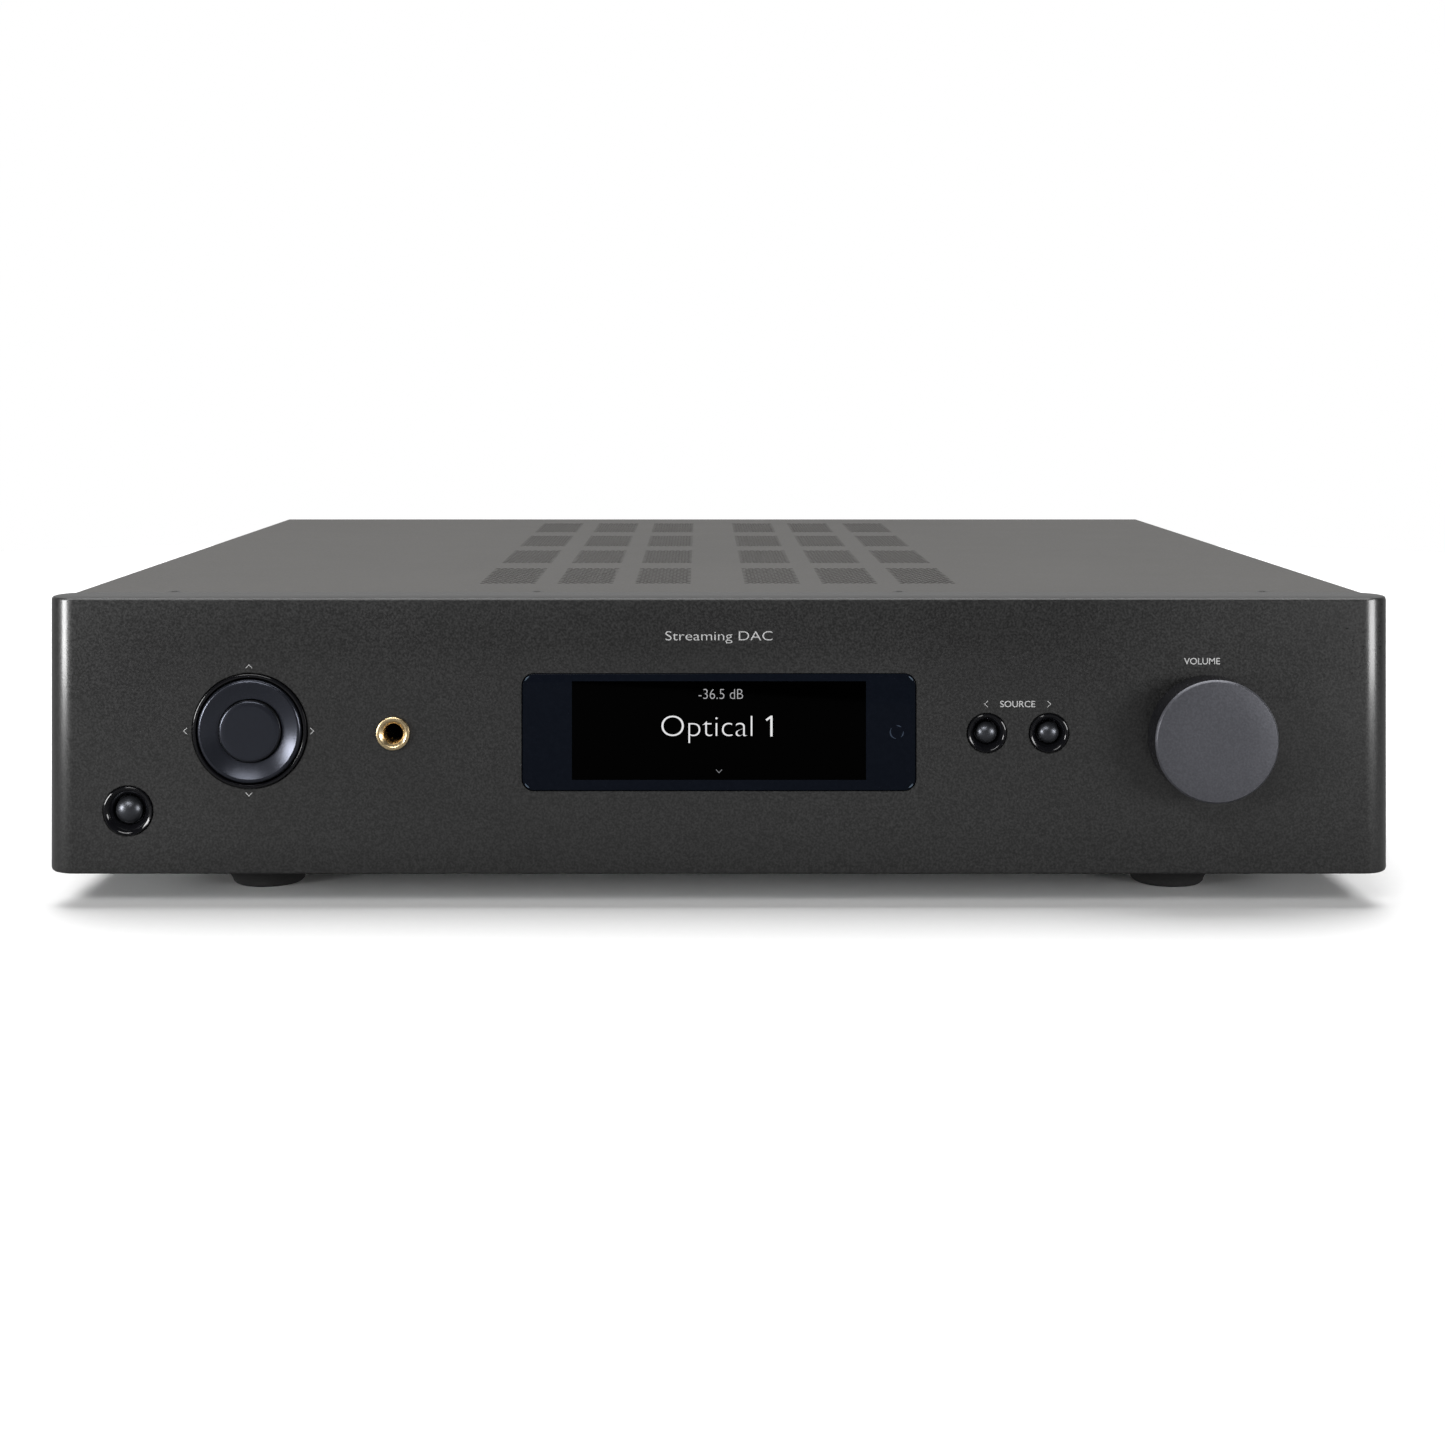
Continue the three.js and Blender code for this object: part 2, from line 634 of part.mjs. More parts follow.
// Feet
function footSolid() {
  const tall = footDrop - fit;
  const profile = [
    [0, 0],
    [foot.bottom, 0],
    [foot.bottom + 1, 0.6],
    [foot.top, tall - foot.lip],
    [foot.top, tall],
    [0, tall],
  ];
  const points = profile.map(([r, z]) => new THREE.Vector2(r, z));
  return solidOf(new THREE.LatheGeometry(points, midRound).rotateX(Math.PI / 2));
}
for (const [end, y] of [["front", faceY + foot.frontBack], ["rear", rearY - foot.rearIn]]) {
  for (const [side, sign] of [["left", -1], ["right", 1]]) {
    place(device, `foot_${end}_${side}`, footSolid(), blackPlastic(), sign * foot.x, y, 0);
  }
}

// Boards
function flatBoard([x0, x1], [y0, y1]) {
  return block([x0, x1], [y0, y1], [boardZ, boardTop]);
}
place(device, "main_board", flatBoard(mainBoard.x, mainSpan), board());
place(device, "network_board", flatBoard(networkBoard.x, networkSpan), board());
place(device, "power_supply_board", flatBoard(supplyBoard.x, supplySpan), board());

function transformer() {
  const [coreX, coreY, coreZ] = coil.core;
  const [windX, windY, windZ] = coil.winding;
  const core = block([-coreX / 2, coreX / 2], [-coreY / 2, coreY / 2], [0, coreZ]);
  const lift = (coreZ - windZ) / 2;
  return core.add(block([-windX / 2, windX / 2], [-windY / 2, windY / 2], [lift, lift + windZ]));
}
const coilY = supplyStart + coil.fromFront;
place(device, "supply_transformer", transformer(), yellowTape(), coil.x, coilY, boardTop + fit);

// Rear panel and its sockets ----------------------------------------------

const rearTop = innerTop - midZ;
const rearBottom = floorTop + fit - midZ;
const inletX = inlet.fromEnd - innerHalf;
const rockerX = rocker.fromEnd - innerHalf;
const xlrXs = [innerHalf - xlr.fromEnd, innerHalf - xlr.fromEnd - xlr.pitch];
const antennaXs = [antenna.fromEnd - innerHalf, innerHalf - antenna.fromEnd];
const antennaZ = rearTop - antenna.fromTop;
const groundZ = rearTop - ground.fromTop;
const triggerZ = rearBottom + trigger.fromBottom;
const serialZ = rearBottom + serial.fromBottom;
const opticalXs = [optical.x - optical.pitch / 2, optical.x + optical.pitch / 2];
const plateZs = [modulePlate.pitch / 2, -modulePlate.pitch / 2];

function postPlaces({ x, columns, rows }) {
  const places = [];
  for (let column = 0; column < columns; column += 1) {
    for (let row = 0; row < rows; row += 1) {
      const px = x + (column - (columns - 1) / 2) * rcaPitch.x;
      places.push([px, (row - (rows - 1) / 2) * rcaPitch.z]);
    }
  }
  return places;
}

function rearPanel() {
  const plate = block([-innerHalf, innerHalf], [-sheet, 0], [rearBottom, rearTop]);
  const y0 = -sheet - past;
  const slot = (x, z, w, h) => bar(x, z, w + 2 * fit, h + 2 * fit, y0, past);
  const hole = (x, z, r, segments) => drill(x, z, r + fit, y0, past, segments);
  const posts = [rcaInputs, rcaOutputs, coax].flatMap(postPlaces);
  return cut(plate, [
    slot(inletX, inlet.up, inlet.bodyW, inlet.bodyH),
    slot(rockerX, rocker.up, rockerFrame.bodyW, rockerFrame.bodyH),
    ...xlrXs.map((x) => hole(x, 0, xlr.barrel, midRound)),
    ...posts.map(([x, z]) => hole(x, z, rca.post, smallRound)),
    ...opticalXs.map((x) => slot(x, optical.up, optical.outer, optical.outer + 1)),
    slot(ethernet.x, ethernet.up, ethernet.width, ethernet.height),
    slot(usb.x, usb.up, usb.width, usb.height),
    ...[-0.5, 0.5].map((i) => hole(trigger.x + i * trigger.pitch, triggerZ, trigger.bush, smallRound)),
    slot(serial.x, serialZ, serial.collarW, serial.collarH),
    ...antennaXs.map((x) => hole(x, antennaZ, antenna.barrel, smallRound)),
    hole(ground.x, groundZ, ground.thread, smallRound),
    ...plateZs.map((z) => slot(modulePlate.x, z, modulePlate.width, modulePlate.height)),
  ]);
}
place(rear, "rear_panel", rearPanel(), coverPaint());

// Blanking plates, each with a pressed tray that fills the bay's mouth.
function blankingPlate() {
  const { width: w, height: h, lap, thick } = modulePlate;
  const lapped = bar(0, 0, w + lap, h + lap, fit, thick);
  const tray = bar(0, 0, w, h, -thick, thick / 2);
  return lapped.add(tray);
}
place(rear, "module_plate_upper", blankingPlate(), coverPaint(), modulePlate.x, 0, plateZs[0]);
place(rear, "module_plate_lower", blankingPlate(), coverPaint(), modulePlate.x, 0, plateZs[1]);

// Mains inlet with three blades.
function mainsInlet() {
  const lip = fit + flangeThick;
  const body = bar(0, 0, inlet.bodyW, inlet.bodyH, -inlet.back, lip);
  const shell = body.add(bar(0, 0, inlet.flangeW, inlet.flangeH, fit, lip));
  const pitFloor = lip - inletPit.deep;
  const pit = bar(0, 0, inletPit.width, inletPit.height, pitFloor, lip + past);
  const bladeAt = (x, z) => bar(x, z, blade.thick, blade.tall, pitFloor - 0.5, pitFloor + blade.long);
  const side = blade.apart / 2;
  const blades = [bladeAt(-side, -blade.offset), bladeAt(side, -blade.offset), bladeAt(0, blade.offset)];
  return joined([shell.subtract(pit), ...blades]);
}
place(rear, "iec_inlet", mainsInlet(), blackPlastic(), inletX, 0, inlet.up);

// Mains rocker in its frame, turning on two pins.
const rockerPivotY = fit + flangeThick - rocker.pivotIn;
function mainsFrame() {
  const lip = fit + flangeThick;
  const body = bar(0, 0, rockerFrame.bodyW, rockerFrame.bodyH, -rockerFrame.back, lip);
  const flange = bar(0, 0, rockerFrame.flangeW, rockerFrame.flangeH, fit, lip);
  const pit = bar(0, 0, rockerPit.width, rockerPit.height, lip - rockerPit.deep, lip + past);
  const reach = rockerPit.width / 2 + 0.9;
  const seat = pinAcross(-reach, reach, rockerPivotY, 0, rocker.pin + fit);
  return cut(body.add(flange), [pit, seat]);
}
place(rear, "rocker_frame", mainsFrame(), blackPlastic(), rockerX, 0, rocker.up);

function mainsRocker() {
  const half = rocker.half;
  const outline = [[-half, 2], [0, 1.2], [half, 2], [half, -1.5], [3, -6], [-3, -6], [-half, -1.5]];
  const shape = new THREE.Shape(outline.map(([z, y]) => new THREE.Vector2(y, z)));
  const options = { depth: rocker.width, bevelEnabled: false };
  const prism = new THREE.ExtrudeGeometry(shape, options).translate(0, 0, -rocker.width / 2);
  prism.rotateX(Math.PI / 2).rotateZ(Math.PI / 2);
  const reach = rockerPit.width / 2 + 0.6;
  return solidOf(prism).add(pinAcross(-reach, reach, 0, 0, rocker.pin));
}
const rockerMesh = place(rear, "mains_rocker", mainsRocker(), blackGloss(), rockerX, rockerPivotY, rocker.up);
rockerMesh.rotation.x = THREE.MathUtils.degToRad(rocker.rest);

// Balanced outputs: a round pit with three pins.
function balancedSocket() {
  const lip = fit + flangeThick;
  const flange = pressed(roundedRectangle(xlr.flangeW, xlr.flangeH, xlrCorner), fit, lip, 3);
  const barrel = drill(0, 0, xlr.barrel, -xlr.back, lip);
  const pitFloor = lip - xlr.deep;
  const pit = drill(0, 0, xlr.pit, pitFloor, lip + past);
  const pins = xlrPin.degrees.map((degrees) => {
    const angle = THREE.MathUtils.degToRad(degrees);
    const [x, z] = [Math.cos(angle), Math.sin(angle)].map((part) => part * xlrPin.circle);
    return drill(x, z, xlrPin.radius, pitFloor - 0.5, pitFloor + xlrPin.long, 8);
  });
  return joined([flange.add(barrel).subtract(pit), ...pins]);
}
place(rear, "xlr_right", balancedSocket(), zincSteel(), xlrXs[0], 0, 0);
place(rear, "xlr_left", balancedSocket(), zincSteel(), xlrXs[1], 0, 0);

// Phono sockets: a block with a post through the panel for each, its foot on the board or clear of it.
function phonoBlock(spec, low) {
  const halfW = ((spec.columns - 1) * rcaPitch.x) / 2 + rca.edge;
  const top = ((spec.rows - 1) * rcaPitch.z) / 2 + rca.edge;
  const inFace = -sheet - fit;
  const body = block([-halfW, halfW], [inFace - rca.blockDeep, inFace], [low, top]);
  const places = postPlaces({ ...spec, x: 0 });
  const posts = places.map(([x, z]) => drill(x, z, rca.post, inFace - 1, rca.stand, smallRound));
  const bores = places.map(([x, z]) => drill(x, z, rca.bore, rca.stand - rca.boreDeep, rca.stand + past, 8));
  return cut(joined([body, ...posts]), bores);
}
const onBoard = boardTop + fit - midZ;
const abovePort = -rcaPitch.z / 2 - rca.edge;
place(rear, "rca_inputs", phonoBlock(rcaInputs, onBoard), blackPlastic(), rcaInputs.x);
place(rear, "rca_outputs", phonoBlock(rcaOutputs, onBoard), blackPlastic(), rcaOutputs.x);
place(rear, "coax_block", phonoBlock(coax, abovePort), blackPlastic(), coax.x);

// Optical sockets: two snouts, each with a sprung flap hung inside its mouth.
const flapAxisY = optical.stand - flap.in;
const flapAxisZ = optical.pitH / 2 - flap.barDown;
function opticalBlock() {
  const inFace = -sheet - fit;
  const halfW = optical.pitch / 2 + optical.outer / 2 + 1;
  const halfH = optical.outer / 2 + 2;
  const body = block([-halfW, halfW], [inFace - optical.blockDeep, inFace], [-halfH, halfH]);
  const sides = [-optical.pitch / 2, optical.pitch / 2];
  const snouts = sides.map((x) => bar(x, 0, optical.outer, optical.outer + 1, inFace - 1, optical.stand));
  const pitFloor = optical.stand - optical.deep;
  const pits = sides.map((x) => bar(x, 0, optical.pitW, optical.pitH, pitFloor, optical.stand + past));
  const reach = optical.pitW / 2 + flap.pinLong;
  const seats = sides.map((x) => pinAcross(x - reach, x + reach, flapAxisY, flapAxisZ, flap.pin + fit, 8));
  return cut(joined([body, ...snouts]), [...pits, ...seats]);
}
place(rear, "optical_block", opticalBlock(), blackPlastic(), optical.x, 0, optical.up);

// A flap hangs from its pin bar; local origin on the bar's axis.
function opticalFlap() {
  const hang = optical.pitH - flap.barDown - 0.3;
  const plate = bar(0, -hang / 2, flap.width, hang, -flap.thick / 2, flap.thick / 2);
  const hub = pinAcross(-flap.width / 2, flap.width / 2, 0, 0, flap.bar, 10);
  const reach = optical.pitW / 2 + flap.pinLong - fit;
  return joined([plate, hub, pinAcross(-reach, reach, 0, 0, flap.pin, 8)]);
}
["left", "right"].forEach((side, i) => {
  const z = optical.up + flapAxisZ;
  place(rear, `optical_flap_${side}`, opticalFlap(), blackPlastic(), opticalXs[i], flapAxisY, z);
});

// Network and USB sockets: shielded boxes with a pit.
function shieldedSocket(spec) {
  const box = bar(0, 0, spec.width, spec.height, -spec.back, spec.stand);
  const [pitWidth, pitHeight, pitDeep] = spec.pit;
  return box.subtract(bar(0, 0, pitWidth, pitHeight, spec.stand - pitDeep, spec.stand + past));
}
place(rear, "ethernet_socket", shieldedSocket(ethernet), brightSteel(), ethernet.x, 0, ethernet.up);

function usbSocket() {
  const [, pitHeight, pitDeep] = usb.pit;
  const pitFloor = usb.stand - pitDeep;
  const z = pitHeight / 2 - tongue.drop - tongue.thick / 2;
  return shieldedSocket(usb).add(bar(0, z, tongue.width, tongue.thick, pitFloor - 0.5, usb.stand - 0.4));
}
place(rear, "usb_socket", usbSocket(), brightSteel(), usb.x, 0, usb.up);

// Two small jacks for remote infrared and the trigger.
function triggerJacks() {
  const inFace = -sheet - fit;
  const halfW = trigger.pitch / 2 + triggerBlock.side;
  const halfH = triggerBlock.height / 2;
  const body = block([-halfW, halfW], [inFace - triggerBlock.deep, inFace], [-halfH, halfH]);
  const xs = [-trigger.pitch / 2, trigger.pitch / 2];
  const bushes = xs.map((x) => drill(x, 0, trigger.bush, inFace - 1, trigger.stand, smallRound));
  const boreFloor = trigger.stand - trigger.deep;
  const bores = xs.map((x) => drill(x, 0, trigger.bore, boreFloor, trigger.stand + past, 8));
  return cut(joined([body, ...bushes]), bores);
}
place(rear, "trigger_jack", triggerJacks(), blackPlastic(), trigger.x, 0, triggerZ);

// Nine-way serial port with its two jack posts.
function serialPort() {
  const flange = bar(0, 0, serial.flangeW, serial.flangeH, fit, 1);
  const collar = bar(0, 0, serial.collarW, serial.collarH, -serialBack, serial.stand);
  const postXs = [-serialPost.apart / 2, serialPost.apart / 2];
  const posts = postXs.map((x) => drill(x, 0, serialPost.radius, 0.5, serialPost.stand, 6));
  return joined([flange, collar, ...posts]);
}
place(rear, "serial_port", serialPort(), brightSteel(), serial.x, 0, serialZ);

// Antenna sockets
function antennaSocket() {
  return turned([
    [0, antenna.stand],
    [antenna.barrel, antenna.stand],
    [antenna.barrel, 2],
    [antenna.base, 2],
    [antenna.base, fit],
    [antenna.barrel, fit],
    [antenna.barrel, -antenna.back],
    [0, -antenna.back],
  ], smallRound);
}
place(rear, "antenna_socket_left", antennaSocket(), gold(), antennaXs[0], 0, antennaZ);
place(rear, "antenna_socket_right", antennaSocket(), gold(), antennaXs[1], 0, antennaZ);

// Ground post with a thumb nut
function groundPost() {
  return turned([
    [0, postStandOut],
    [ground.thread, postStandOut],
    [ground.thread, 1],
    [ground.collar, 1],
    [ground.collar, fit],
    [ground.thread, fit],
    [ground.thread, -ground.back],
    [0, -ground.back],
  ], smallRound);
}
place(rear, "ground_post", groundPost(), gold(), ground.x, 0, groundZ);

function thumbNut() {
  const end = ground.nutStart + ground.nutLong;
  const body = drill(0, 0, ground.nut, ground.nutStart, end, smallRound);
  return body.subtract(drill(0, 0, ground.thread + fit, ground.nutStart - past, end + past, smallRound));
}
place(rear, "ground_nut", thumbNut(), gold(), ground.x, 0, groundZ);

export default device;
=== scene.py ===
import math
import bmesh
import bpy
from mathutils import Matrix, Vector
from mathutils.geometry import delaunay_2d_cdt


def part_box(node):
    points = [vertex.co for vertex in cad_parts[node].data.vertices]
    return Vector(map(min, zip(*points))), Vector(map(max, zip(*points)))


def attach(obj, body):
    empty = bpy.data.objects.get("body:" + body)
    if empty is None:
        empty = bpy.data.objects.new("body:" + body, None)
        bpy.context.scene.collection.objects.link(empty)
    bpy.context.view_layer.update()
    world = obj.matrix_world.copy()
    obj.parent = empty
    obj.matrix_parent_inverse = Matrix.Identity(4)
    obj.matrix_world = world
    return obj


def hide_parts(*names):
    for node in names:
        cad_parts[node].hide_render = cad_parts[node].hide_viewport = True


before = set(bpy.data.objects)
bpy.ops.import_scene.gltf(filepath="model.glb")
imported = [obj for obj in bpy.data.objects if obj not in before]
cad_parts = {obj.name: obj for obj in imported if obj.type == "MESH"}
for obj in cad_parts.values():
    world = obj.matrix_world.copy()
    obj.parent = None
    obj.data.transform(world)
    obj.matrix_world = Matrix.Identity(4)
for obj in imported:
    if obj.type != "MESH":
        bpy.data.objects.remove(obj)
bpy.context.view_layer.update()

scene = bpy.context.scene
print("frame loaded", len(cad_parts), "nodes")


# Places on the front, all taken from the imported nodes
def centreOf(node):
    low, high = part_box(node)
    return (low + high) / 2


def sizeOf(node):
    low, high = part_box(node)
    return high - low


panelLow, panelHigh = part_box("front_panel")
coverLow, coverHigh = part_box("top_cover")
windowLow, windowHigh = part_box("display_window")
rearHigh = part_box("rear_panel")[1]
faceY = panelLow.y
knobAt = centreOf("volume_knob")
navAt = centreOf("nav_bezel")
powerAt = centreOf("power_bezel")
jackAt = centreOf("headphone_ring")
windowAt = (windowLow + windowHigh) / 2
sourceAt = [centreOf("source_bezel_left"), centreOf("source_bezel_right")]


# Camera: level, in front of the panel and a little above its top edge
cameraPlace = {"ahead": 0.660, "above": 0.0709, "left": 0.0058, "lens": 51.05, "shiftX": 0.0149, "shiftY": -0.2384}
lens = bpy.data.cameras.new("frontCamera")
lens.lens = cameraPlace["lens"]
lens.sensor_width = 36
lens.shift_x = cameraPlace["shiftX"]
lens.shift_y = cameraPlace["shiftY"]
frontCamera = bpy.data.objects.new("frontCamera", lens)
frontCamera.location = (-cameraPlace["left"], faceY - cameraPlace["ahead"], panelHigh.z + cameraPlace["above"])
frontCamera.rotation_euler = (math.radians(90), 0, 0)
scene.collection.objects.link(frontCamera)
scene.camera = frontCamera
scene.view_settings.view_transform = "Standard"


# Light: one big soft box overhead, a strip at each end, a small key high on the left
lightPlan = {
    "overhead": ((0, 0.9, 2.6), (0, 0.5, 0), 3.6, 2.8, 158),
    "frontTop": ((-0.42, -1.75, 1.25), (-0.1, -0.19, 0.05), 0.85, 0.45, 13),
    "leftStrip": ((-1.25, -0.95, 0.20), (-0.2, -0.18, 0.05), 0.46, 0.40, 17),
    "rightStrip": ((1.13, -1.02, 0.20), (0.2, -0.18, 0.05), 0.56, 0.40, 12),
    "highKey": ((-0.75, -1.35, 1.15), (0, -0.19, 0.05), 0.35, 0.35, 3.5),
}
for lightName, (place, target, wide, tall, power) in lightPlan.items():
    lamp = bpy.data.lights.new(lightName, "AREA")
    lamp.shape = "RECTANGLE"
    lamp.size, lamp.size_y, lamp.energy = wide, tall, power
    lampObject = bpy.data.objects.new(lightName, lamp)
    lampObject.location = place
    lampObject.rotation_euler = (Vector(target) - Vector(place)).to_track_quat("-Z", "Y").to_euler()
    scene.collection.objects.link(lampObject)

room = {"seen": 1.0, "low": 0.34, "high": 0.19, "front": 0.025, "turnsFrom": -0.2, "turnsTo": 0.6,
        "dimsFrom": 0.12, "dimsTo": 0.6}
world = bpy.data.worlds.new("studio")
scene.world = world
world.use_nodes = True
roomTree = world.node_tree
roomTree.nodes.clear()
way = roomTree.nodes.new("ShaderNodeTexCoord")
split = roomTree.nodes.new("ShaderNodeSeparateXYZ")
roomTree.links.new(way.outputs["Generated"], split.inputs[0])


def roomRange(axis, start, end, low, high):
    node = roomTree.nodes.new("ShaderNodeMapRange")
    for label, value in (("From Min", start), ("From Max", end), ("To Min", low), ("To Max", high)):
        node.inputs[label].default_value = value
    roomTree.links.new(split.outputs[axis], node.inputs["Value"])
    return node


behind = roomRange("Y", room["turnsFrom"], room["turnsTo"], room["front"], room["low"])    # dark in front
upward = roomRange("Z", room["dimsFrom"], room["dimsTo"], 1.0, room["high"] / room["low"])  # dims above
strength = roomTree.nodes.new("ShaderNodeMath")
strength.operation = "MULTIPLY"
roomTree.links.new(behind.outputs[0], strength.inputs[0])
roomTree.links.new(upward.outputs[0], strength.inputs[1])
dim = roomTree.nodes.new("ShaderNodeBackground")
dim.inputs["Color"].default_value = (1, 1, 1, 1)
roomTree.links.new(strength.outputs[0], dim.inputs["Strength"])
white = roomTree.nodes.new("ShaderNodeBackground")
white.inputs["Color"].default_value = (1, 1, 1, 1)
white.inputs["Strength"].default_value = room["seen"]
seen = roomTree.nodes.new("ShaderNodeLightPath")
either = roomTree.nodes.new("ShaderNodeMixShader")
roomTree.links.new(seen.outputs["Is Camera Ray"], either.inputs[0])
roomTree.links.new(dim.outputs[0], either.inputs[1])
roomTree.links.new(white.outputs[0], either.inputs[2])
worldOut = roomTree.nodes.new("ShaderNodeOutputWorld")
roomTree.links.new(either.outputs[0], worldOut.inputs[0])
print("camera and light")


# Shared effects
def startGroup(name, inputs, outputs):
    group = bpy.data.node_groups.new(name, "ShaderNodeTree")
    for label, kind, value in inputs:
        socket = group.interface.new_socket(name=label, in_out="INPUT", socket_type=kind)
        socket.default_value = value
    for label, kind in outputs:
        group.interface.new_socket(name=label, in_out="OUTPUT", socket_type=kind)
    return group, group.nodes.new("NodeGroupInput"), group.nodes.new("NodeGroupOutput")


def mathNode(tree, operation, first, second, third=None):
    node = tree.nodes.new("ShaderNodeMath")
    node.operation = operation
    for socket, value in zip(node.inputs, (first, second, third)):
        if isinstance(value, (int, float)):
            socket.default_value = value
        elif value is not None:
            tree.links.new(value, socket)
    return node.outputs[0]


def mixColour(tree, share, first, second):
    node = tree.nodes.new("ShaderNodeMix")
    node.data_type = "RGBA"
    for socket, value in ((node.inputs[0], share), (node.inputs[6], first), (node.inputs[7], second)):
        if isinstance(value, (int, float)):
            socket.default_value = value
        elif isinstance(value, tuple):
            socket.default_value = value
        else:
            tree.links.new(value, socket)
    return node.outputs[2]


def ramp(tree, value, fromLow, fromHigh, toLow, toHigh):
    node = tree.nodes.new("ShaderNodeMapRange")
    for socket, given in zip(node.inputs, (value, fromLow, fromHigh, toLow, toHigh)):
        if isinstance(given, (int, float)):
            socket.default_value = given
        else:
            tree.links.new(given, socket)
    return node.outputs[0]


colourKind, floatKind = "NodeSocketColor", "NodeSocketFloat"


def buildGrain():
    group, given, out = startGroup("fineGrain", [
        ("Base", colourKind, (0.03, 0.03, 0.03, 1)), ("Fleck", colourKind, (0.08, 0.08, 0.08, 1)),
        ("Fleck Share", floatKind, 0.4), ("Grain Scale", floatKind, 2500.0),
        ("Rough Low", floatKind, 0.35), ("Rough High", floatKind, 0.55)],
        [("Colour", colourKind), ("Roughness", floatKind), ("Height", floatKind)])
    place = group.nodes.new("ShaderNodeTexCoord")
    fine = group.nodes.new("ShaderNodeTexNoise")
    fine.inputs["Detail"].default_value = 3
    group.links.new(place.outputs["Object"], fine.inputs["Vector"])
    group.links.new(given.outputs["Grain Scale"], fine.inputs["Scale"])
    slow = group.nodes.new("ShaderNodeTexNoise")
    slow.inputs["Scale"].default_value = 14
    slow.inputs["Detail"].default_value = 2
    group.links.new(place.outputs["Object"], slow.inputs["Vector"])
    speck = ramp(group, fine.outputs[0], 0.38, 0.68, 0.0, 1.0)
    share = mathNode(group, "MULTIPLY", speck, given.outputs["Fleck Share"])
    drift = ramp(group, slow.outputs[0], 0.3, 0.7, 0.88, 1.12)
    share = mathNode(group, "MULTIPLY", share, drift)
    group.links.new(mixColour(group, share, given.outputs["Base"], given.outputs["Fleck"]), out.inputs["Colour"])
    sharper = mathNode(group, "MULTIPLY", fine.outputs[0], 0.6)
    blend = mathNode(group, "ADD", sharper, mathNode(group, "MULTIPLY", slow.outputs[0], 0.4))
    rough = ramp(group, blend, 0.3, 0.7, given.outputs["Rough Low"], given.outputs["Rough High"])
    group.links.new(rough, out.inputs["Roughness"])
    group.links.new(fine.outputs[0], out.inputs["Height"])
    return group


def buildDust():
    group, given, out = startGroup("settledDust", [
        ("Colour", colourKind, (0.1, 0.1, 0.1, 1)), ("Dust", colourKind, (0.45, 0.44, 0.42, 1)),
        ("Amount", floatKind, 0.1)],
        [("Colour", colourKind), ("Mask", floatKind)])
    place = group.nodes.new("ShaderNodeTexCoord")
    facing = group.nodes.new("ShaderNodeNewGeometry")
    parts = group.nodes.new("ShaderNodeSeparateXYZ")
    group.links.new(facing.outputs["Normal"], parts.inputs[0])
    patches = group.nodes.new("ShaderNodeTexNoise")
    patches.inputs["Scale"].default_value = 60
    patches.inputs["Detail"].default_value = 6
    group.links.new(place.outputs["Object"], patches.inputs["Vector"])
    up = ramp(group, parts.outputs["Z"], 0.35, 1.0, 0.0, 1.0)
    lying = mathNode(group, "MULTIPLY", up, ramp(group, patches.outputs[0], 0.42, 0.75, 0.0, 1.0))
    mask = mathNode(group, "MULTIPLY", lying, given.outputs["Amount"])
    group.links.new(mixColour(group, mask, given.outputs["Colour"], given.outputs["Dust"]), out.inputs["Colour"])
    group.links.new(mask, out.inputs["Mask"])
    return group


def buildTurning():
    group, given, out = startGroup("turningLines", [("Pitch", floatKind, 9000.0), ("Depth", floatKind, 1.0)],
                                   [("Height", floatKind), ("Mask", floatKind)])
    place = group.nodes.new("ShaderNodeTexCoord")
    parts = group.nodes.new("ShaderNodeSeparateXYZ")
    group.links.new(place.outputs["Object"], parts.inputs[0])
    squareX = mathNode(group, "MULTIPLY", parts.outputs["X"], parts.outputs["X"])
    squareZ = mathNode(group, "MULTIPLY", parts.outputs["Z"], parts.outputs["Z"])
    radius = mathNode(group, "SQRT", mathNode(group, "ADD", squareX, squareZ), 0.0)
    along = group.nodes.new("ShaderNodeCombineXYZ")
    group.links.new(radius, along.inputs["X"])
    group.links.new(parts.outputs["Y"], along.inputs["Y"])
    lines = group.nodes.new("ShaderNodeTexNoise")
    lines.inputs["Detail"].default_value = 2
    group.links.new(along.outputs[0], lines.inputs["Vector"])
    group.links.new(given.outputs["Pitch"], lines.inputs["Scale"])
    height = mathNode(group, "MULTIPLY", lines.outputs[0], given.outputs["Depth"])
    group.links.new(height, out.inputs["Height"])
    group.links.new(ramp(group, lines.outputs[0], 0.35, 0.65, 0.0, 1.0), out.inputs["Mask"])
    return group


fineGrain, settledDust, turningLines = buildGrain(), buildDust(), buildTurning()


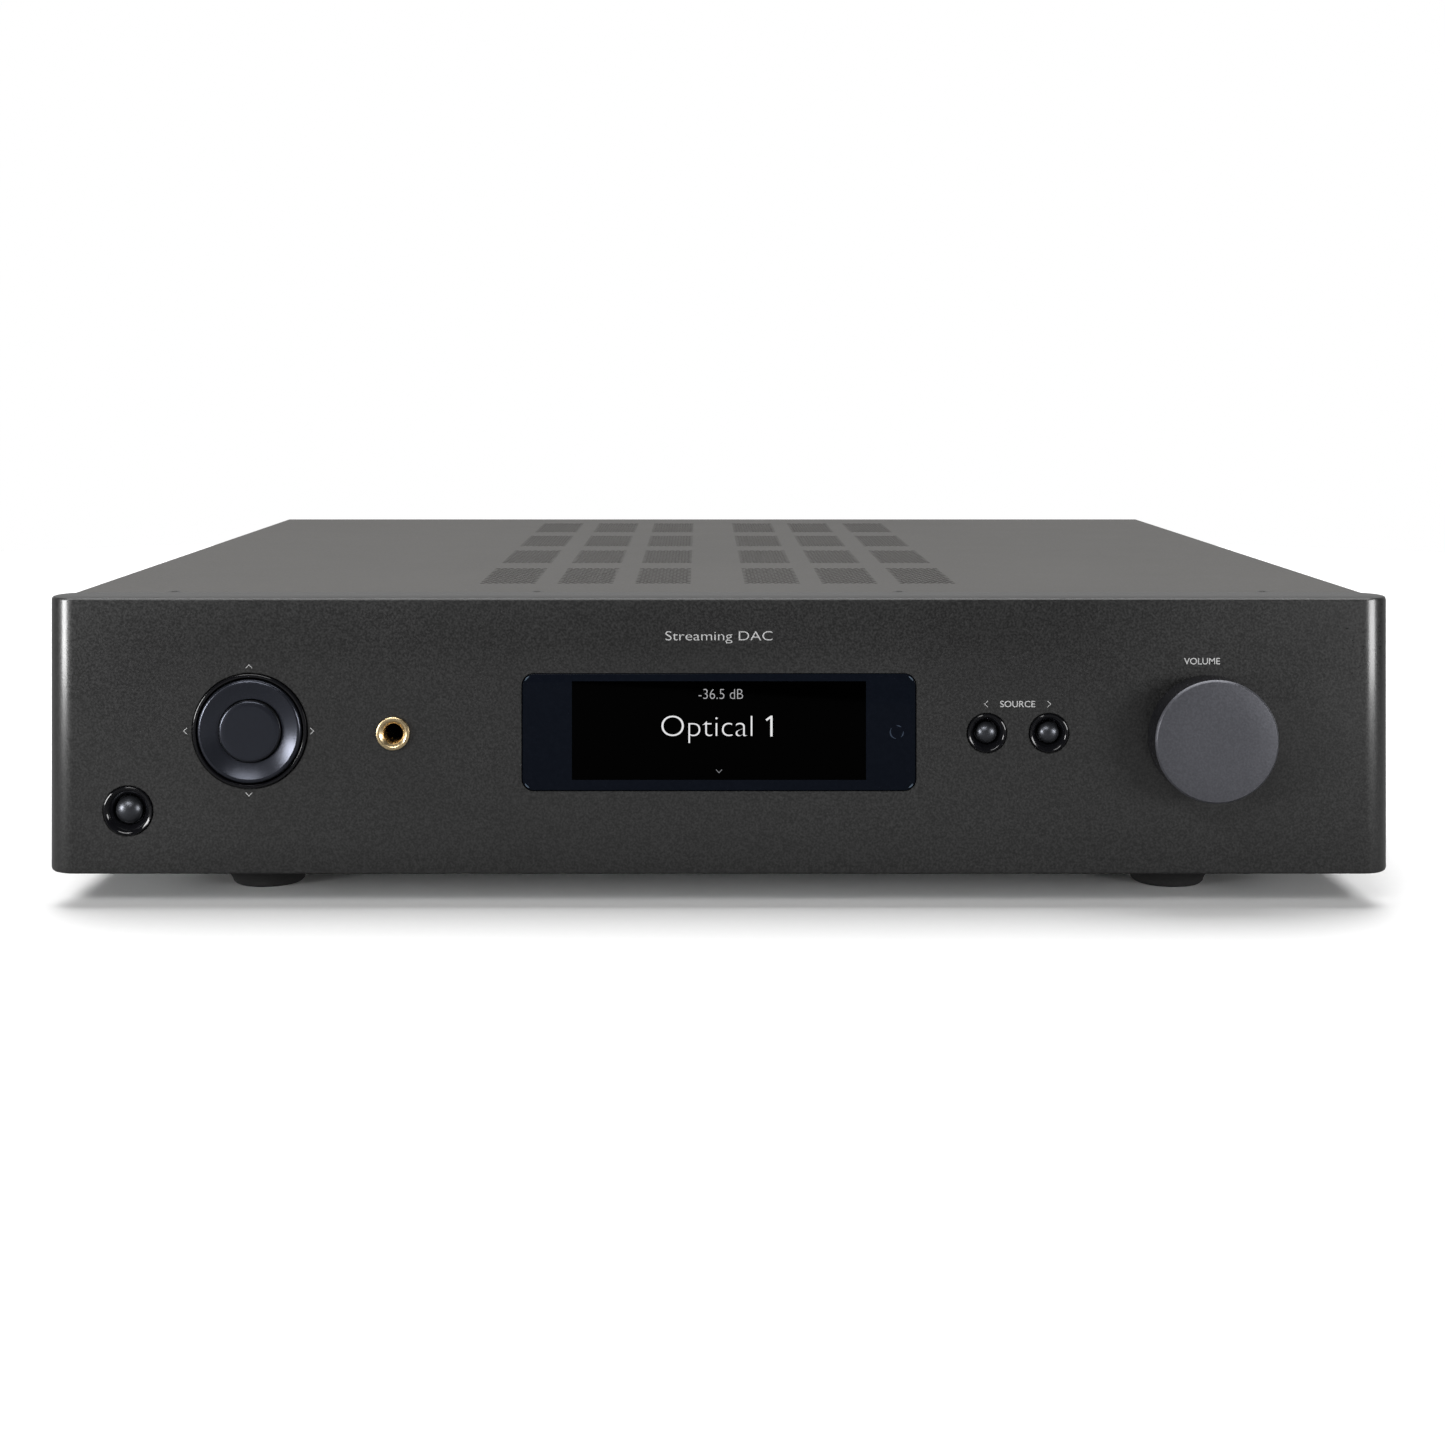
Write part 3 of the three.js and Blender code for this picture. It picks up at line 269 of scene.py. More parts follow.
def finish(name, base, fleck, share=0.4, scale=2500, rough=(0.35, 0.55), bump=0.05, dust=0.0, turned=0.0, **plain):
    material = bpy.data.materials.new(name)
    material.use_nodes = True
    tree = material.node_tree
    surface = tree.nodes["Principled BSDF"]
    for label, value in plain.items():
        surface.inputs[label.replace("_", " ")].default_value = value
    grain = tree.nodes.new("ShaderNodeGroup")
    grain.node_tree = fineGrain
    grain.inputs["Base"].default_value = (*base, 1)
    grain.inputs["Fleck"].default_value = (*fleck, 1)
    grain.inputs["Fleck Share"].default_value = share
    grain.inputs["Grain Scale"].default_value = scale
    grain.inputs["Rough Low"].default_value, grain.inputs["Rough High"].default_value = rough
    colour = grain.outputs["Colour"]
    if dust:
        film = tree.nodes.new("ShaderNodeGroup")
        film.node_tree = settledDust
        film.inputs["Amount"].default_value = dust
        tree.links.new(colour, film.inputs["Colour"])
        colour = film.outputs["Colour"]
    tree.links.new(colour, surface.inputs["Base Color"])
    tree.links.new(grain.outputs["Roughness"], surface.inputs["Roughness"])
    height = grain.outputs["Height"]
    if turned:
        rings = tree.nodes.new("ShaderNodeGroup")
        rings.node_tree = turningLines
        rings.inputs["Depth"].default_value = turned
        height = mathNode(tree, "ADD", height, rings.outputs["Height"])
    relief = tree.nodes.new("ShaderNodeBump")
    relief.inputs["Strength"].default_value = bump
    relief.inputs["Distance"].default_value = 0.0001
    tree.links.new(height, relief.inputs["Height"])
    tree.links.new(relief.outputs[0], surface.inputs["Normal"])
    return material


panelPaint = finish("panelPaint", (0.0095, 0.0095, 0.0095), (0.052, 0.052, 0.052), 0.36, 1500, (0.27, 0.38), 0.15,
                    Coat_Weight=0.3, Coat_Roughness=0.16)
coverPaint = finish("coverPaint", (0.029, 0.027, 0.0245), (0.057, 0.0535, 0.048), 0.5, 1300, (0.40, 0.50), 0.20)
knobAnodising = finish("knobAnodising", (0.083, 0.084, 0.096), (0.122, 0.124, 0.142), 0.45, 1500, (0.32, 0.42), 0.08,
                       turned=0.4, Metallic=0.55)
# Darker, glossier copy of the knob finish for the knob's side: painted shade on the skirt
knobSkirtPaintedShade = finish("knobSkirtPaintedShade", (0.012, 0.012, 0.015), (0.020, 0.020, 0.025), 0.4, 1500, (0.14, 0.22), 0.03,
                       Metallic=0.5)
glossBlack = finish("glossBlack", (0.004, 0.004, 0.005), (0.006, 0.006, 0.007), 0.4, 900, (0.07, 0.12), 0.003,
                    Specular_IOR_Level=0.3)
satinBlack = finish("satinBlack", (0.030, 0.033, 0.044), (0.038, 0.042, 0.056), 0.4, 5000, (0.23, 0.28), 0.006,
                    Metallic=0.75, Specular_IOR_Level=0.8)
domeSatin = finish("domeSatin", (0.060, 0.063, 0.072), (0.072, 0.076, 0.087), 0.4, 5000, (0.32, 0.38), 0.006,
                   Metallic=0.85, Specular_IOR_Level=0.8)
moulding = finish("moulding", (0.018, 0.018, 0.018), (0.034, 0.034, 0.034), 0.5, 1600, (0.42, 0.62), 0.2, dust=0.06)
jackGold = finish("jackGold", (0.78, 0.60, 0.34), (0.90, 0.74, 0.46), 0.4, 2200, (0.26, 0.34), 0.01, Metallic=1.0)
nickel = finish("nickel", (0.62, 0.61, 0.58), (0.74, 0.73, 0.70), 0.4, 2000, (0.16, 0.30), 0.04,
                turned=0.3, Metallic=1.0)
zincSheet = finish("zincSheet", (0.42, 0.43, 0.44), (0.56, 0.57, 0.58), 0.5, 500, (0.28, 0.46), 0.08, Metallic=1.0)
screwBlack = finish("screwBlack", (0.020, 0.020, 0.021), (0.060, 0.060, 0.062), 0.4, 2400, (0.26, 0.44), 0.08,
                    Metallic=0.6)
boardGreen = finish("boardGreen", (0.010, 0.075, 0.035), (0.030, 0.12, 0.060), 0.5, 350, (0.30, 0.48), 0.05)
windingTape = finish("windingTape", (0.30, 0.17, 0.04), (0.46, 0.28, 0.08), 0.5, 700, (0.30, 0.50), 0.1)
footRubber = finish("footRubber", (0.012, 0.012, 0.012), (0.022, 0.022, 0.022), 0.5, 1500, (0.60, 0.80), 0.3)
printInk = finish("printInk", (0.40, 0.40, 0.40), (0.50, 0.50, 0.50), 0.4, 4000, (0.45, 0.60), 0.05)
redRing = finish("redRing", (0.34, 0.012, 0.012), (0.46, 0.030, 0.025), 0.4, 1200, (0.26, 0.38), 0.05)
whiteRing = finish("whiteRing", (0.62, 0.61, 0.58), (0.74, 0.73, 0.70), 0.4, 1200, (0.26, 0.38), 0.05)
orangeRing = finish("orangeRing", (0.52, 0.14, 0.012), (0.64, 0.21, 0.03), 0.4, 1200, (0.26, 0.38), 0.05)


# Display glass: black over the screen, navy border, both under one gloss
def buildWindowTint():
    material = finish("windowTint", (0.0034, 0.0045, 0.0075), (0.0048, 0.0062, 0.0100), 0.4, 700, (0.05, 0.09),
                      0.004, Specular_IOR_Level=0.03)
    tree = material.node_tree
    surface = tree.nodes["Principled BSDF"]
    active = {"halfWide": 0.0474, "low": 0.0414, "high": 0.0732}
    place = tree.nodes.new("ShaderNodeTexCoord")
    parts = tree.nodes.new("ShaderNodeSeparateXYZ")
    tree.links.new(place.outputs["Object"], parts.inputs[0])
    across = mathNode(tree, "LESS_THAN", mathNode(tree, "ABSOLUTE", parts.outputs["X"], 0.0), active["halfWide"])
    above = mathNode(tree, "GREATER_THAN", parts.outputs["Z"], active["low"] - windowAt.z)
    below = mathNode(tree, "LESS_THAN", parts.outputs["Z"], active["high"] - windowAt.z)
    inside = mathNode(tree, "MULTIPLY", across, mathNode(tree, "MULTIPLY", above, below))
    border = surface.inputs["Base Color"].links[0].from_socket
    tree.links.new(mixColour(tree, inside, border, (0.0001, 0.0001, 0.0001, 1)), surface.inputs["Base Color"])
    return material


def buildGlow(name, colour, power):
    material = finish(name, (0.02, 0.02, 0.02), (0.03, 0.03, 0.03), 0.3, 3000, (0.4, 0.5), 0.01)
    tree = material.node_tree
    surface = tree.nodes["Principled BSDF"]
    flicker = tree.nodes.new("ShaderNodeTexNoise")
    flicker.inputs["Scale"].default_value = 4000
    tree.links.new(mixColour(tree, ramp(tree, flicker.outputs[0], 0.3, 0.7, 0.0, 1.0), (*colour, 1),
                             (*[c * 0.92 for c in colour], 1)), surface.inputs["Emission Color"])
    surface.inputs["Emission Strength"].default_value = power
    return material


windowTint = buildWindowTint()
# Painted highlights: lighter metal for the bright arcs drawn on the glass corners
glassPaintedGlint = finish("glassPaintedGlint", (0.10, 0.14, 0.19), (0.20, 0.25, 0.30), 0.5, 3000, (0.10, 0.22), 0.02, Metallic=0.6)
# Painted highlights: lighter navy metal for the crescents drawn round the infrared eye
eyePaintedGlint = finish("eyePaintedGlint", (0.03, 0.045, 0.07), (0.06, 0.08, 0.11), 0.5, 3000, (0.2, 0.3), 0.02, Metallic=0.4)
screenGlow = buildGlow("screenGlow", (0.92, 0.92, 0.93), 0.85)
screenMid = buildGlow("screenMid", (0.70, 0.70, 0.72), 0.55)
screenDim = buildGlow("screenDim", (0.55, 0.56, 0.60), 0.35)


# Studio paper: pale to the eye, and a dimmer bounce so that the gloss pieces stay dark
def buildFloorPaper():
    material = finish("floorPaper", (0.84, 0.84, 0.84), (0.86, 0.86, 0.86), 0.4, 300, (0.7, 0.85), 0.02)
    tree = material.node_tree
    surface = tree.nodes["Principled BSDF"]
    paper = surface.inputs["Base Color"].links[0].from_socket
    path = tree.nodes.new("ShaderNodeLightPath")
    bounced = mixColour(tree, path.outputs["Is Camera Ray"], (0.16, 0.16, 0.16, 1), paper)
    tree.links.new(bounced, surface.inputs["Base Color"])
    surface.inputs["Specular IOR Level"].default_value = 0.1
    return material


floorPaper = buildFloorPaper()
print("finishes")


# Making and placing pieces
def addPiece(name, mesh, material, body, at=(0, 0, 0), replaces=(), smoothBelow=32):
    piece = bpy.data.objects.new(name, mesh)
    scene.collection.objects.link(piece)
    piece.location = at
    mesh.materials.clear()
    mesh.materials.append(material)
    for face in mesh.polygons:
        face.use_smooth = True
    mesh.set_sharp_from_angle(angle=math.radians(smoothBelow))
    if body:
        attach(piece, body)
    if replaces:
        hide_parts(*replaces)
    return piece


def meshFrom(name, points, faces):
    mesh = bpy.data.meshes.new(name)
    work = bmesh.new()
    made = [work.verts.new(p) for p in points]
    for face in faces:
        work.faces.new([made[i] for i in face])
    bmesh.ops.recalc_face_normals(work, faces=work.faces)
    work.to_mesh(mesh)
    work.free()
    return mesh


# A closed turned shape: profile of (radius, along) from axis to axis, turned about Y or Z
def turnedMesh(name, profile, segments=96, axis="Y"):
    work = bmesh.new()
    rings = []
    for radius, along in profile:
        if radius < 1e-7:
            rings.append([work.verts.new((0, along, 0) if axis == "Y" else (0, 0, along))])
            continue
        ring = []
        for i in range(segments):
            a = 2 * math.pi * i / segments
            u, v = radius * math.cos(a), radius * math.sin(a)
            ring.append(work.verts.new((u, along, v) if axis == "Y" else (u, v, along)))
        rings.append(ring)
    closed = len(rings[0]) > 1
    pairs = list(zip(rings, rings[1:])) + ([(rings[-1], rings[0])] if closed else [])
    for a, b in pairs:
        for i in range(segments):
            j = (i + 1) % segments
            if len(a) == 1:
                work.faces.new((a[0], b[i], b[j]))
            elif len(b) == 1:
                work.faces.new((a[i], a[j], b[0]))
            else:
                work.faces.new((a[i], a[j], b[j], b[i]))
    bmesh.ops.recalc_face_normals(work, faces=work.faces)
    mesh = bpy.data.meshes.new(name)
    work.to_mesh(mesh)
    work.free()
    return mesh


def addTurned(name, profile, segments, material, body, at=(0, 0, 0), hides=(), smoothBelow=32, axis="Y"):
    return addPiece(name, turnedMesh(name, profile, segments, axis), material, body, at, hides, smoothBelow)


def roundedOutline(wide, tall, corner, steps=10):
    points = []
    for cx, cz, start in ((1, 1, 0), (-1, 1, 90), (-1, -1, 180), (1, -1, 270)):
        for i in range(steps + 1):
            a = math.radians(start + 90 * i / steps)
            points.append((cx * (wide / 2 - corner) + corner * math.cos(a),
                           cz * (tall / 2 - corner) + corner * math.sin(a)))
    return points


# Straight plate from an outline in X and Z, between two Y values
def plateMesh(name, outline, front, back):
    n = len(outline)
    points = [(x, front, z) for x, z in outline] + [(x, back, z) for x, z in outline]
    faces = [list(range(n)), list(range(n, 2 * n))[::-1]]
    faces += [[i, (i + 1) % n, n + (i + 1) % n, n + i] for i in range(n)]
    return meshFrom(name, points, faces)


def applyModifier(piece, kind, **settings):
    modifier = piece.modifiers.new(kind.lower(), kind)
    for label, value in settings.items():
        setattr(modifier, label, value)
    bpy.context.view_layer.update()
    fresh = bpy.data.meshes.new_from_object(piece.evaluated_get(bpy.context.evaluated_depsgraph_get()))
    piece.modifiers.clear()
    old, piece.data = piece.data, fresh
    bpy.data.meshes.remove(old)
    return piece


def looseObject(name, mesh, at=(0, 0, 0)):
    piece = bpy.data.objects.new(name, mesh)
    piece.location = at
    scene.collection.objects.link(piece)
    return piece


def cutAway(piece, cutter):
    applyModifier(piece, "BOOLEAN", object=cutter, operation="DIFFERENCE", solver="EXACT")
    mesh = cutter.data
    bpy.data.objects.remove(cutter)
    bpy.data.meshes.remove(mesh)


# Floor
floorStyle = {"radius": 1.35, "thick": 0.002}
floorEdge = floorStyle["radius"]
floorProfile = [(0, 0), (floorEdge, 0), (floorEdge, -floorStyle["thick"]), (0, -floorStyle["thick"])]
floorMesh = turnedMesh("floor", floorProfile, 96, "Z")
floor = looseObject("floor", floorMesh, (0, 0, 0))
floorMesh.materials.append(floorPaper)


# Front panel: rounded ends, eased top and bottom edges, chamfered openings, hollow behind
frontStyle = {"ease": 0.0010, "wall": 0.004, "rim": 0.003, "chamfer": 0.0003, "gap": 0.00015, "arcSteps": 28,
              "jackHole": 0.0043, "shaftHole": 0.0046, "windowCorner": 0.0039, "glassEase": 0.00035}


def buildFrontPanel():
    halfDepth = (panelHigh.y - panelLow.y) / 2
    midY = (panelHigh.y + panelLow.y) / 2
    straight = (panelHigh.x - panelLow.x) / 2 - halfDepth
    outline = []
    for side, start in ((1, -90), (-1, 90)):
        for i in range(frontStyle["arcSteps"] + 1):
            a = math.radians(start + 180 * i / frontStyle["arcSteps"])
            outline.append((side * straight + halfDepth * math.cos(a), midY + halfDepth * math.sin(a)))
    n = len(outline)
    points = [(x, y, panelLow.z) for x, y in outline] + [(x, y, panelHigh.z) for x, y in outline]
    faces = [list(range(n)), list(range(n, 2 * n))[::-1]]
    faces += [[i, (i + 1) % n, n + (i + 1) % n, n + i] for i in range(n)]
    panel = looseObject("frontPanel", meshFrom("frontPanel", points, faces))
    applyModifier(panel, "BEVEL", width=frontStyle["ease"], segments=3, limit_method="ANGLE",
                  angle_limit=math.radians(60))
    rim = frontStyle["rim"]
    hollow = roundedOutline(2 * straight, panelHigh.z - panelLow.z - 2 * rim, 0.002, 4)
    hollowMesh = plateMesh("hollow", hollow, faceY + frontStyle["wall"], panelHigh.y + 0.002)
    cutAway(panel, looseObject("hollow", hollowMesh, (0, 0, (panelHigh.z + panelLow.z) / 2)))
    chamfer, gap = frontStyle["chamfer"], frontStyle["gap"]
    through = faceY + frontStyle["wall"] + 0.002
    holes = [(powerAt, sizeOf("power_bezel").x / 2), (navAt, sizeOf("nav_bezel").x / 2),
             (sourceAt[0], sizeOf("source_bezel_left").x / 2), (sourceAt[1], sizeOf("source_bezel_right").x / 2),
             (jackAt, frontStyle["jackHole"]), (centreOf("volume_encoder"), frontStyle["shaftHole"])]
    for place, radius in holes:
        r = radius + gap
        before = faceY - 0.001
        profile = [(0, before), (r + chamfer + 0.001, before), (r, faceY + chamfer), (r, through), (0, through)]
        cutAway(panel, looseObject("hole", turnedMesh("hole", profile, 96), (place.x, 0, place.z)))
    size = windowHigh - windowLow
    opening = roundedOutline(size.x + 2 * gap, size.z + 2 * gap, frontStyle["windowCorner"] + gap, 12)
    openingMesh = plateMesh("opening", opening, faceY - 0.001, through)
    cutAway(panel, looseObject("opening", openingMesh, (windowAt.x, 0, windowAt.z)))
    mesh = panel.data.copy()
    bpy.data.objects.remove(panel)
    addPiece("frontPanelCasting", mesh, panelPaint, "chassis", replaces=["front_panel"],
             smoothBelow=28)


buildFrontPanel()
print("front panel")


# Top cover: one folded sheet with perforated patches
coverStyle = {"sheet": 0.0012, "fold": 0.0016, "columns": 3, "inner": 0.019, "columnPitch": 0.027,
              "patchWidth": 0.020, "firstRow": 0.052, "rowPitch": 0.079, "rows": 4, "patchLength": 0.057,
              "holesAcross": 8, "holesAlong": 21, "holeRadius": 0.00108}


def buildTopCover():
    style = coverStyle
    flat = coverHigh.x - style["fold"]
    front, back = coverLow.y, coverHigh.y
    stepX = style["patchWidth"] / style["holesAcross"]
    stepY = style["patchLength"] / style["holesAlong"]
    work = bmesh.new()
    known = {}

    def point(x, y, z):
        key = (round(x * 1e7), round(y * 1e7), round(z * 1e7))
        if key not in known:
            known[key] = work.verts.new((x, y, z))
        return known[key]

    top = coverHigh.z
    loops = [[(-flat, front), (flat, front), (flat, back), (-flat, back)]]
    patches = []
    for side in (-1, 1):
        for column in range(style["columns"]):
            middle = side * (style["inner"] + style["columnPitch"] * column)
            for row in range(style["rows"]):
                x0 = middle - style["patchWidth"] / 2
                y0 = faceY + style["firstRow"] + style["rowPitch"] * row
                patches.append((x0, y0))
    for x0, y0 in patches:
        across = 2 * style["holesAcross"]
        up = 2 * style["holesAlong"]
        x1, y1 = x0 + style["patchWidth"], y0 + style["patchLength"]
        loop = [(x0 + stepX / 2 * i, y0) for i in range(across)]
        loop += [(x1, y0 + stepY / 2 * i) for i in range(up)]
        loop += [(x1 - stepX / 2 * i, y1) for i in range(across)]
        loop += [(x0, y1 - stepY / 2 * i) for i in range(up)]
        loops.append(loop)
        for row in range(style["holesAlong"]):
            low, mid, high = (y0 + stepY * (row + k) for k in (0, 0.5, 1))
            shifted = row % 2
            count = style["holesAcross"] - shifted
            begin = x0 + (stepX / 2 if shifted else 0)
            for i in range(count):
                left = begin + stepX * i
                centre, right = left + stepX / 2, left + stepX
                outer = [point(x, y, top) for x, y in (
                    (right, mid), (right, high), (centre, high), (left, high),
                    (left, mid), (left, low), (centre, low), (right, low))]
                inner = []
                for k in range(8):
                    a = math.pi / 4 * k
                    inner.append(work.verts.new((centre + style["holeRadius"] * math.cos(a),
                                                 mid + style["holeRadius"] * math.sin(a), top)))
                for k in range(8):
                    m = (k + 1) % 8
                    work.faces.new((outer[k], outer[m], inner[m], inner[k]))
            if shifted:
                for edge, near in ((x0, begin), (x1, x1 - stepX / 2)):
                    corners = ((edge, low), (near, low), (near, mid), (near, high), (edge, high), (edge, mid))
                    work.faces.new([point(x, y, top) for x, y in corners])
    points, edges = [], []
    for loop in loops:
        first = len(points)
        points += [Vector(p) for p in loop]
        edges += [(first + i, first + (i + 1) % len(loop)) for i in range(len(loop))]
    flatPoints, _, triangles = delaunay_2d_cdt(points, edges, [], 1, 1e-7)[:3]

    def inPatch(x, y):
        wide, deep = style["patchWidth"], style["patchLength"]
        return any(x0 < x < x0 + wide and y0 < y < y0 + deep for x0, y0 in patches)

    for triangle in triangles:
        corners = [flatPoints[i] for i in triangle]
        x, y = sum(c.x for c in corners) / 3, sum(c.y for c in corners) / 3
        if not inPatch(x, y):
            work.faces.new([point(c.x, c.y, top) for c in corners])
    for side in (-1, 1):
        section = []
        for i in range(9):
            a = math.radians(90 * i / 8)
            section.append((side * (flat + style["fold"] * math.sin(a)),
                            top - style["fold"] * (1 - math.cos(a))))
        section.append((side * coverHigh.x, coverLow.z))
        for (xa, za), (xb, zb) in zip(section, section[1:]):
            sides = ((xa, front, za), (xb, front, zb), (xb, back, zb), (xa, back, za))
            work.faces.new([point(*place) for place in sides])
    bmesh.ops.remove_doubles(work, verts=work.verts, dist=2e-6)
    bmesh.ops.recalc_face_normals(work, faces=work.faces)
    if sum(f.normal.z * f.calc_area() for f in work.faces) < 0:
        bmesh.ops.reverse_faces(work, faces=work.faces)
    mesh = bpy.data.meshes.new("topCoverSheet")
    work.to_mesh(mesh)
    work.free()
    sheetObject = looseObject("sheet", mesh)
    applyModifier(sheetObject, "SOLIDIFY", thickness=style["sheet"], offset=-1, use_even_offset=True)
    mesh = sheetObject.data.copy()
    bpy.data.objects.remove(sheetObject)
    addPiece("topCoverSheet", mesh, coverPaint, "chassis", replaces=["top_cover"], smoothBelow=30)


buildTopCover()
print("top cover")


# Volume knob: turned, thin polished chamfer, bored for the shaft
knobStyle = {"chamfer": 0.0006, "backEase": 0.0003, "bore": 0.00305, "boreEnd": 0.0032, "skirt": 0.0009,
             "cap": 0.0008}
knobLow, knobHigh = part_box("volume_knob")


def buildKnob():
    radius, front, back = (knobHigh.x - knobLow.x) / 2, knobLow.y, knobHigh.y
    c, e = knobStyle["chamfer"], knobStyle["backEase"]
    seam, bore, floorOfBore = front + knobStyle["cap"], knobStyle["bore"], front + knobStyle["boreEnd"]
    cap = [(0, front), (radius * 0.5, front), (radius - c - 0.0001, front), (radius - c, front + 0.00002),
           (radius - 0.0001, front + c - 0.0001), (radius, front + c + 0.00012), (radius, seam), (0, seam)]
    skirt = [(0, seam), (radius, seam), (radius, back - e), (radius - e, back), (radius - 0.003, back),
             (radius - 0.0034, back - knobStyle["skirt"]), (bore + 0.002, back - knobStyle["skirt"]),
             (bore, back - knobStyle["skirt"]), (bore, floorOfBore), (0, floorOfBore)]
    # The skirt takes the darker copy of the knob finish: painted shade on the knob's side
    parts = (("knobCap", cap, knobAnodising, ["volume_knob"]), ("knobSkirt", skirt, knobSkirtPaintedShade, []))
    for name, profile, material, hides in parts:
        addTurned(name, profile, 160, material, "volume",
                  (knobAt.x, 0, knobAt.z), hides, smoothBelow=22)


buildKnob()


# Four-way pad: bezel, dished ring, select button
padStyle = {"bezelInner": 0.0173, "lip": 0.0004, "dish": 0.0017, "roll": 0.0011, "ringInner": 0.01025,
            "button": 0.0097, "stem": 0.0040, "stemLong": 0.0068, "highlightRingWide": 0.00022, "highlightRingDeep": 0.0020}


def buildPad():
    low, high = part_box("nav_bezel")
    outer, inner, lip, at = (high.x - low.x) / 2, padStyle["bezelInner"], padStyle["lip"], (navAt.x, 0, navAt.z)
    profile = [(outer, faceY + 0.0001), (outer, low.y + lip), (outer - 0.00012, low.y + 0.00012),
               (outer - lip, low.y), (inner + 0.00035, low.y), (inner + 0.0001, low.y + 0.0001),
               (inner, low.y + lip), (inner, high.y), (outer, high.y)]
    addTurned("padBezelRing", profile, 144, glossBlack, "chassis", at, ["nav_bezel"])
    low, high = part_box("nav_ring")
    outer, inner, front, back = (high.x - low.x) / 2, padStyle["ringInner"], low.y, high.y
    roll, dish = padStyle["roll"], padStyle["dish"]
    profile = [(outer, back)]
    for i in range(9):                    # rolled outer edge
        a = math.pi / 2 * i / 8
        profile.append((outer - roll * (1 - math.cos(a)), front + roll * (1 - math.sin(a))))
    for i in range(1, 17):                # the dish
        t = i / 16
        r = outer - roll + (inner + lip - outer + roll) * t
        profile.append((r, front + dish * (0.75 * t + 0.25 * math.sin(math.pi / 2 * t))))
    profile += [(inner + 0.0003, front + dish + 0.00002), (inner + 0.0001, front + dish + 0.0001),
                (inner, front + dish + 0.0003), (inner, back)]
    addTurned("padRingDished", profile, 144, satinBlack, "nav_ring", at, ["nav_ring"])
    low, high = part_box("nav_select_button")
    radius, front, back = padStyle["button"], low.y, high.y
    stem, shoulder = padStyle["stem"], back - padStyle["stemLong"]
    profile = [(0, front + 0.00005), (radius * 0.4, front + 0.00003), (radius * 0.8, front),
               (radius - 0.0005, front), (radius - 0.00015, front + 0.00015), (radius, front + 0.0005),
               (radius, shoulder), (stem, shoulder), (stem, back), (0, back)]
    # A thin ring of lighter satin metal round the select button's rim: painted highlight along its edge
    near, far, end = radius - 0.00002, radius + padStyle["highlightRingWide"], front + padStyle["highlightRingDeep"]
    highlightRing = [(near, front + 0.0003), (radius + 0.0001, front + 0.00015), (far, front + 0.0003),
            (far, end), (near, end)]
    addTurned("padSelectHighlightRing", highlightRing, 128, domeSatin, "nav_select", at)
    addTurned("padSelectButton", profile, 128, satinBlack, "nav_select", at, ["nav_select_button"])


buildPad()


# Small round buttons in dished bezels
buttonStyle = {"powerDome": 0.0045, "sourceDome": 0.0034, "clearance": 0.00035, "rim": 0.0006, "dish": 0.0030,
               "roundness": 0.72, "ledge": 0.0047, "flange": 0.0014, "stem": 0.0022}


def buildRoundButton(label, bezelNode, buttonNode, body, dome):
    low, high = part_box(bezelNode)
    outer, front, back = (high.x - low.x) / 2, low.y, high.y
    inner, rim = dome + buttonStyle["clearance"], outer - buttonStyle["rim"]
    at = ((low.x + high.x) / 2, 0, (low.z + high.z) / 2)
    profile = [(outer, back), (outer, front + 0.00035), (outer - 0.0001, front + 0.0001), (outer - 0.00035, front),
               (rim, front + 0.00008)]
    for i in range(1, 9):
        t = i / 8
        profile.append((rim + (inner - rim) * t, front + 0.00008 + buttonStyle["dish"] * t ** 1.6))
    profile += [(inner, back)]
    addTurned(label + "BezelDish", profile, 112, glossBlack, "chassis", at, [bezelNode])
    low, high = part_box(buttonNode)
    front, back = low.y, high.y
    rise = dome * buttonStyle["roundness"]
    profile = [(0, front)]
    for i in range(1, 13):
        a = math.pi / 2 * i / 12
        profile.append((dome * math.sin(a), front + rise * (1 - math.cos(a))))
    flange = (high.x - low.x) / 2
    ledge, stem = faceY + buttonStyle["ledge"], buttonStyle["stem"]
    behind = ledge + buttonStyle["flange"]
    profile += [(dome, ledge), (flange, ledge), (flange, behind), (stem, behind), (stem, back), (0, back)]
    addTurned(label + "ButtonDome", profile, 96, domeSatin, body, at, [buttonNode])


buildRoundButton("power", "power_bezel", "power_button", "power_button", buttonStyle["powerDome"])
for label, side in (("sourceLeft", "left"), ("sourceRight", "right")):
    buildRoundButton(label, "source_bezel_" + side, "source_button_" + side, "source_" + side,
                     buttonStyle["sourceDome"])


# Headphone ring: gold funnel over the socket's mouth, gold sleeve down the bore
jackStyle = {"bore": 0.0032, "sleeve": 0.0031, "sleeveThick": 0.00006, "sleeveLong": 0.013, "flat": 0.0009}


def buildJackRing():
    low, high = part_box("headphone_ring")
    outer, front, back, at = (high.x - low.x) / 2, low.y, high.y, (jackAt.x, 0, jackAt.z)
    bore, inside, end = jackStyle["bore"], jackStyle["sleeve"], front + jackStyle["sleeveLong"]
    profile = [(outer, back), (outer, front + 0.0005), (outer - 0.00015, front + 0.00015), (outer - 0.0005, front),
               (outer - jackStyle["flat"], front), (outer - jackStyle["flat"] - 0.0003, front + 0.0001),
               (bore + 0.00025, front + 0.00095), (bore + 0.00005, front + 0.0011), (bore, back)]
    outside = inside + jackStyle["sleeveThick"]
    sleeve = [(outside, front + 0.0013), (inside, front + 0.0014), (inside, end), (outside, end)]
    addTurned("headphoneSleeve", sleeve, 64, jackGold, "chassis", at)
    addTurned("headphoneFunnel", profile, 112, jackGold, "chassis", at, ["headphone_ring"])


buildJackRing()
print("controls")


